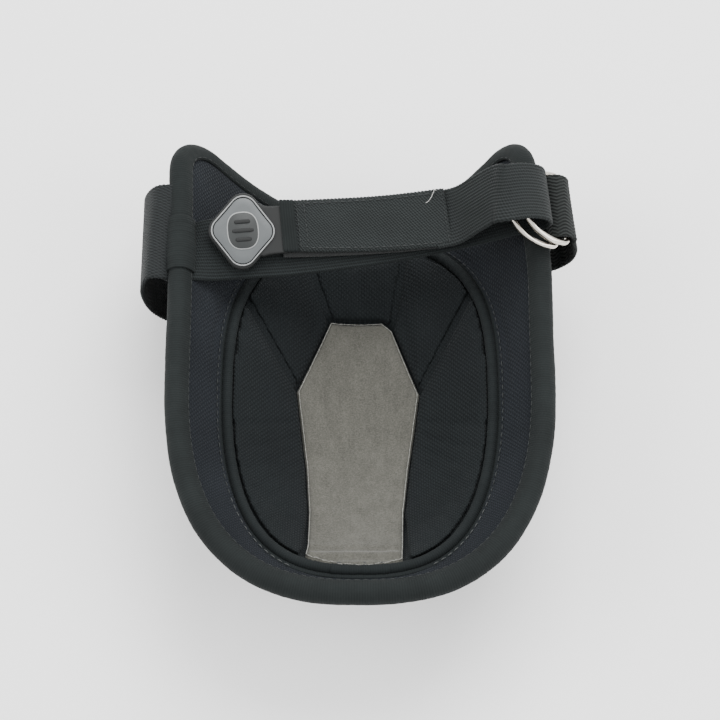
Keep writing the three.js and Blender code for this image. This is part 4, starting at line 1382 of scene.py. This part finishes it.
def tab_outline(angle):
    """The rubber plate's radius: the lozenge, and the neck that runs on to the tail."""
    plate = lozenge(13.6, 15.4, 6.2, TAB_LEAN)(angle)
    dx, dy = np.cos(angle), np.sin(angle)
    reach_tail = (NECK_END - EMBLEM[0]) / np.minimum(dx, -1e-6)
    y = EMBLEM[1] + reach_tail * dy
    inside = (dx < 0) & (y > NECK_TOP) & (y < NECK_TOE)
    toward = np.where(dy < 0, NECK_TOP, NECK_TOE) - EMBLEM[1]
    reach_side = toward / np.where(np.abs(dy) < 1e-6, 1e-6, dy)
    x = EMBLEM[0] + reach_side * dx
    beside = (dx < 0) & ~inside & (x < 9)
    neck = np.where(inside, reach_tail, np.where(beside, reach_side, 0))
    return (plate**9 + np.maximum(neck, 0.01) ** 9) ** (1 / 9)


T0, T1 = TAB_LOW, TAB_LOW + 2.4
plate = polar_solid("tab_plate", tab_outline, [
    (MIDDLE, T0), (6, T0), (0.9, T0), (0.3, T0 + 0.25), (0.0, T0 + 0.9), (0.0, T1 - 0.8),
    (0.22, T1 - 0.28), (0.75, T1), (1.5, T1 + 0.02), (4, T1), (7, T1), (MIDDLE, T1),
], EMBLEM)
dress(plate, TAB, None, "tab_rubber", "pull_tab")
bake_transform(plate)

outer = lozenge(12.6, 14.2, 5.6, TAB_LEAN)
inner_panel = lambda a: 1 / ((np.abs(np.cos(a)) / 5.9) ** 2.6 + (np.abs(np.sin(a)) / 7.2) ** 2.6) ** (1 / 2.6)
T2 = T1 + 0.08
border = polar_solid("badge_rim", outer, [
    (0, T2 - 0.3), (0.0, T2 + 0.5), (0.12, T2 + 0.62),
    (0.42, T2 + 0.62), (0.55, T2 + 0.45), (0.55, T2 - 0.3),
], EMBLEM)
dress(border, BADGE_LINE, "tab", "badge", "badge_border")
field = polar_solid("badge_field", outer, [
    (MIDDLE, T2 - 0.3), (3, T2 - 0.3), (1.0, T2 - 0.3), (1.0, T2 + 0.35),
    (1.15, T2 + 0.45), (4, T2 + 0.47), (MIDDLE, T2 + 0.48),
], EMBLEM)
dress(field, BADGE, "tab", "badge")
line = polar_solid("panel_line", lambda a: inner_panel(a) + 0.45, [
    (MIDDLE, T2 + 0.3), (0.1, T2 + 0.3), (0, T2 + 0.6),
    (0.15, T2 + 0.68), (MIDDLE, T2 + 0.68),
], EMBLEM)
dress(line, BADGE_LINE, "tab", "badge")
panel = polar_solid("badge_centre", inner_panel, [
    (MIDDLE, T2 + 0.4), (0.1, T2 + 0.4), (0, T2 + 0.68),
    (0.15, T2 + 0.78), (MIDDLE, T2 + 0.78),
], EMBLEM)
dress(panel, BADGE_DARK, "tab", "badge", "badge_panel")


def grip(name, y, length, node):
    """One rounded grip bar, standing on the panel."""
    count = 48
    bar = lambda q: 1 / ((np.abs(np.cos(q)) / (length / 2)) ** 5 + (np.abs(np.sin(q)) / 0.8) ** 5) ** 0.2
    centre = EMBLEM + [0, y]
    piece = polar_solid(name, bar, [
        (MIDDLE, T2 + 0.6), (0.1, T2 + 0.6), (0, T2 + 0.9),
        (0.2, T2 + 1.1), (0.5, T2 + 1.2), (MIDDLE, T2 + 1.22),
    ], centre, count)
    dress(piece, TAB, "tab", "tab_rubber", node)


grip("grip_bar_1", -3.6, 6.4, "grip_rib_1")
grip("grip_bar_2", 0.0, 8.6, "grip_rib_2")
grip("grip_bar_3", 3.6, 6.4, "grip_rib_3")
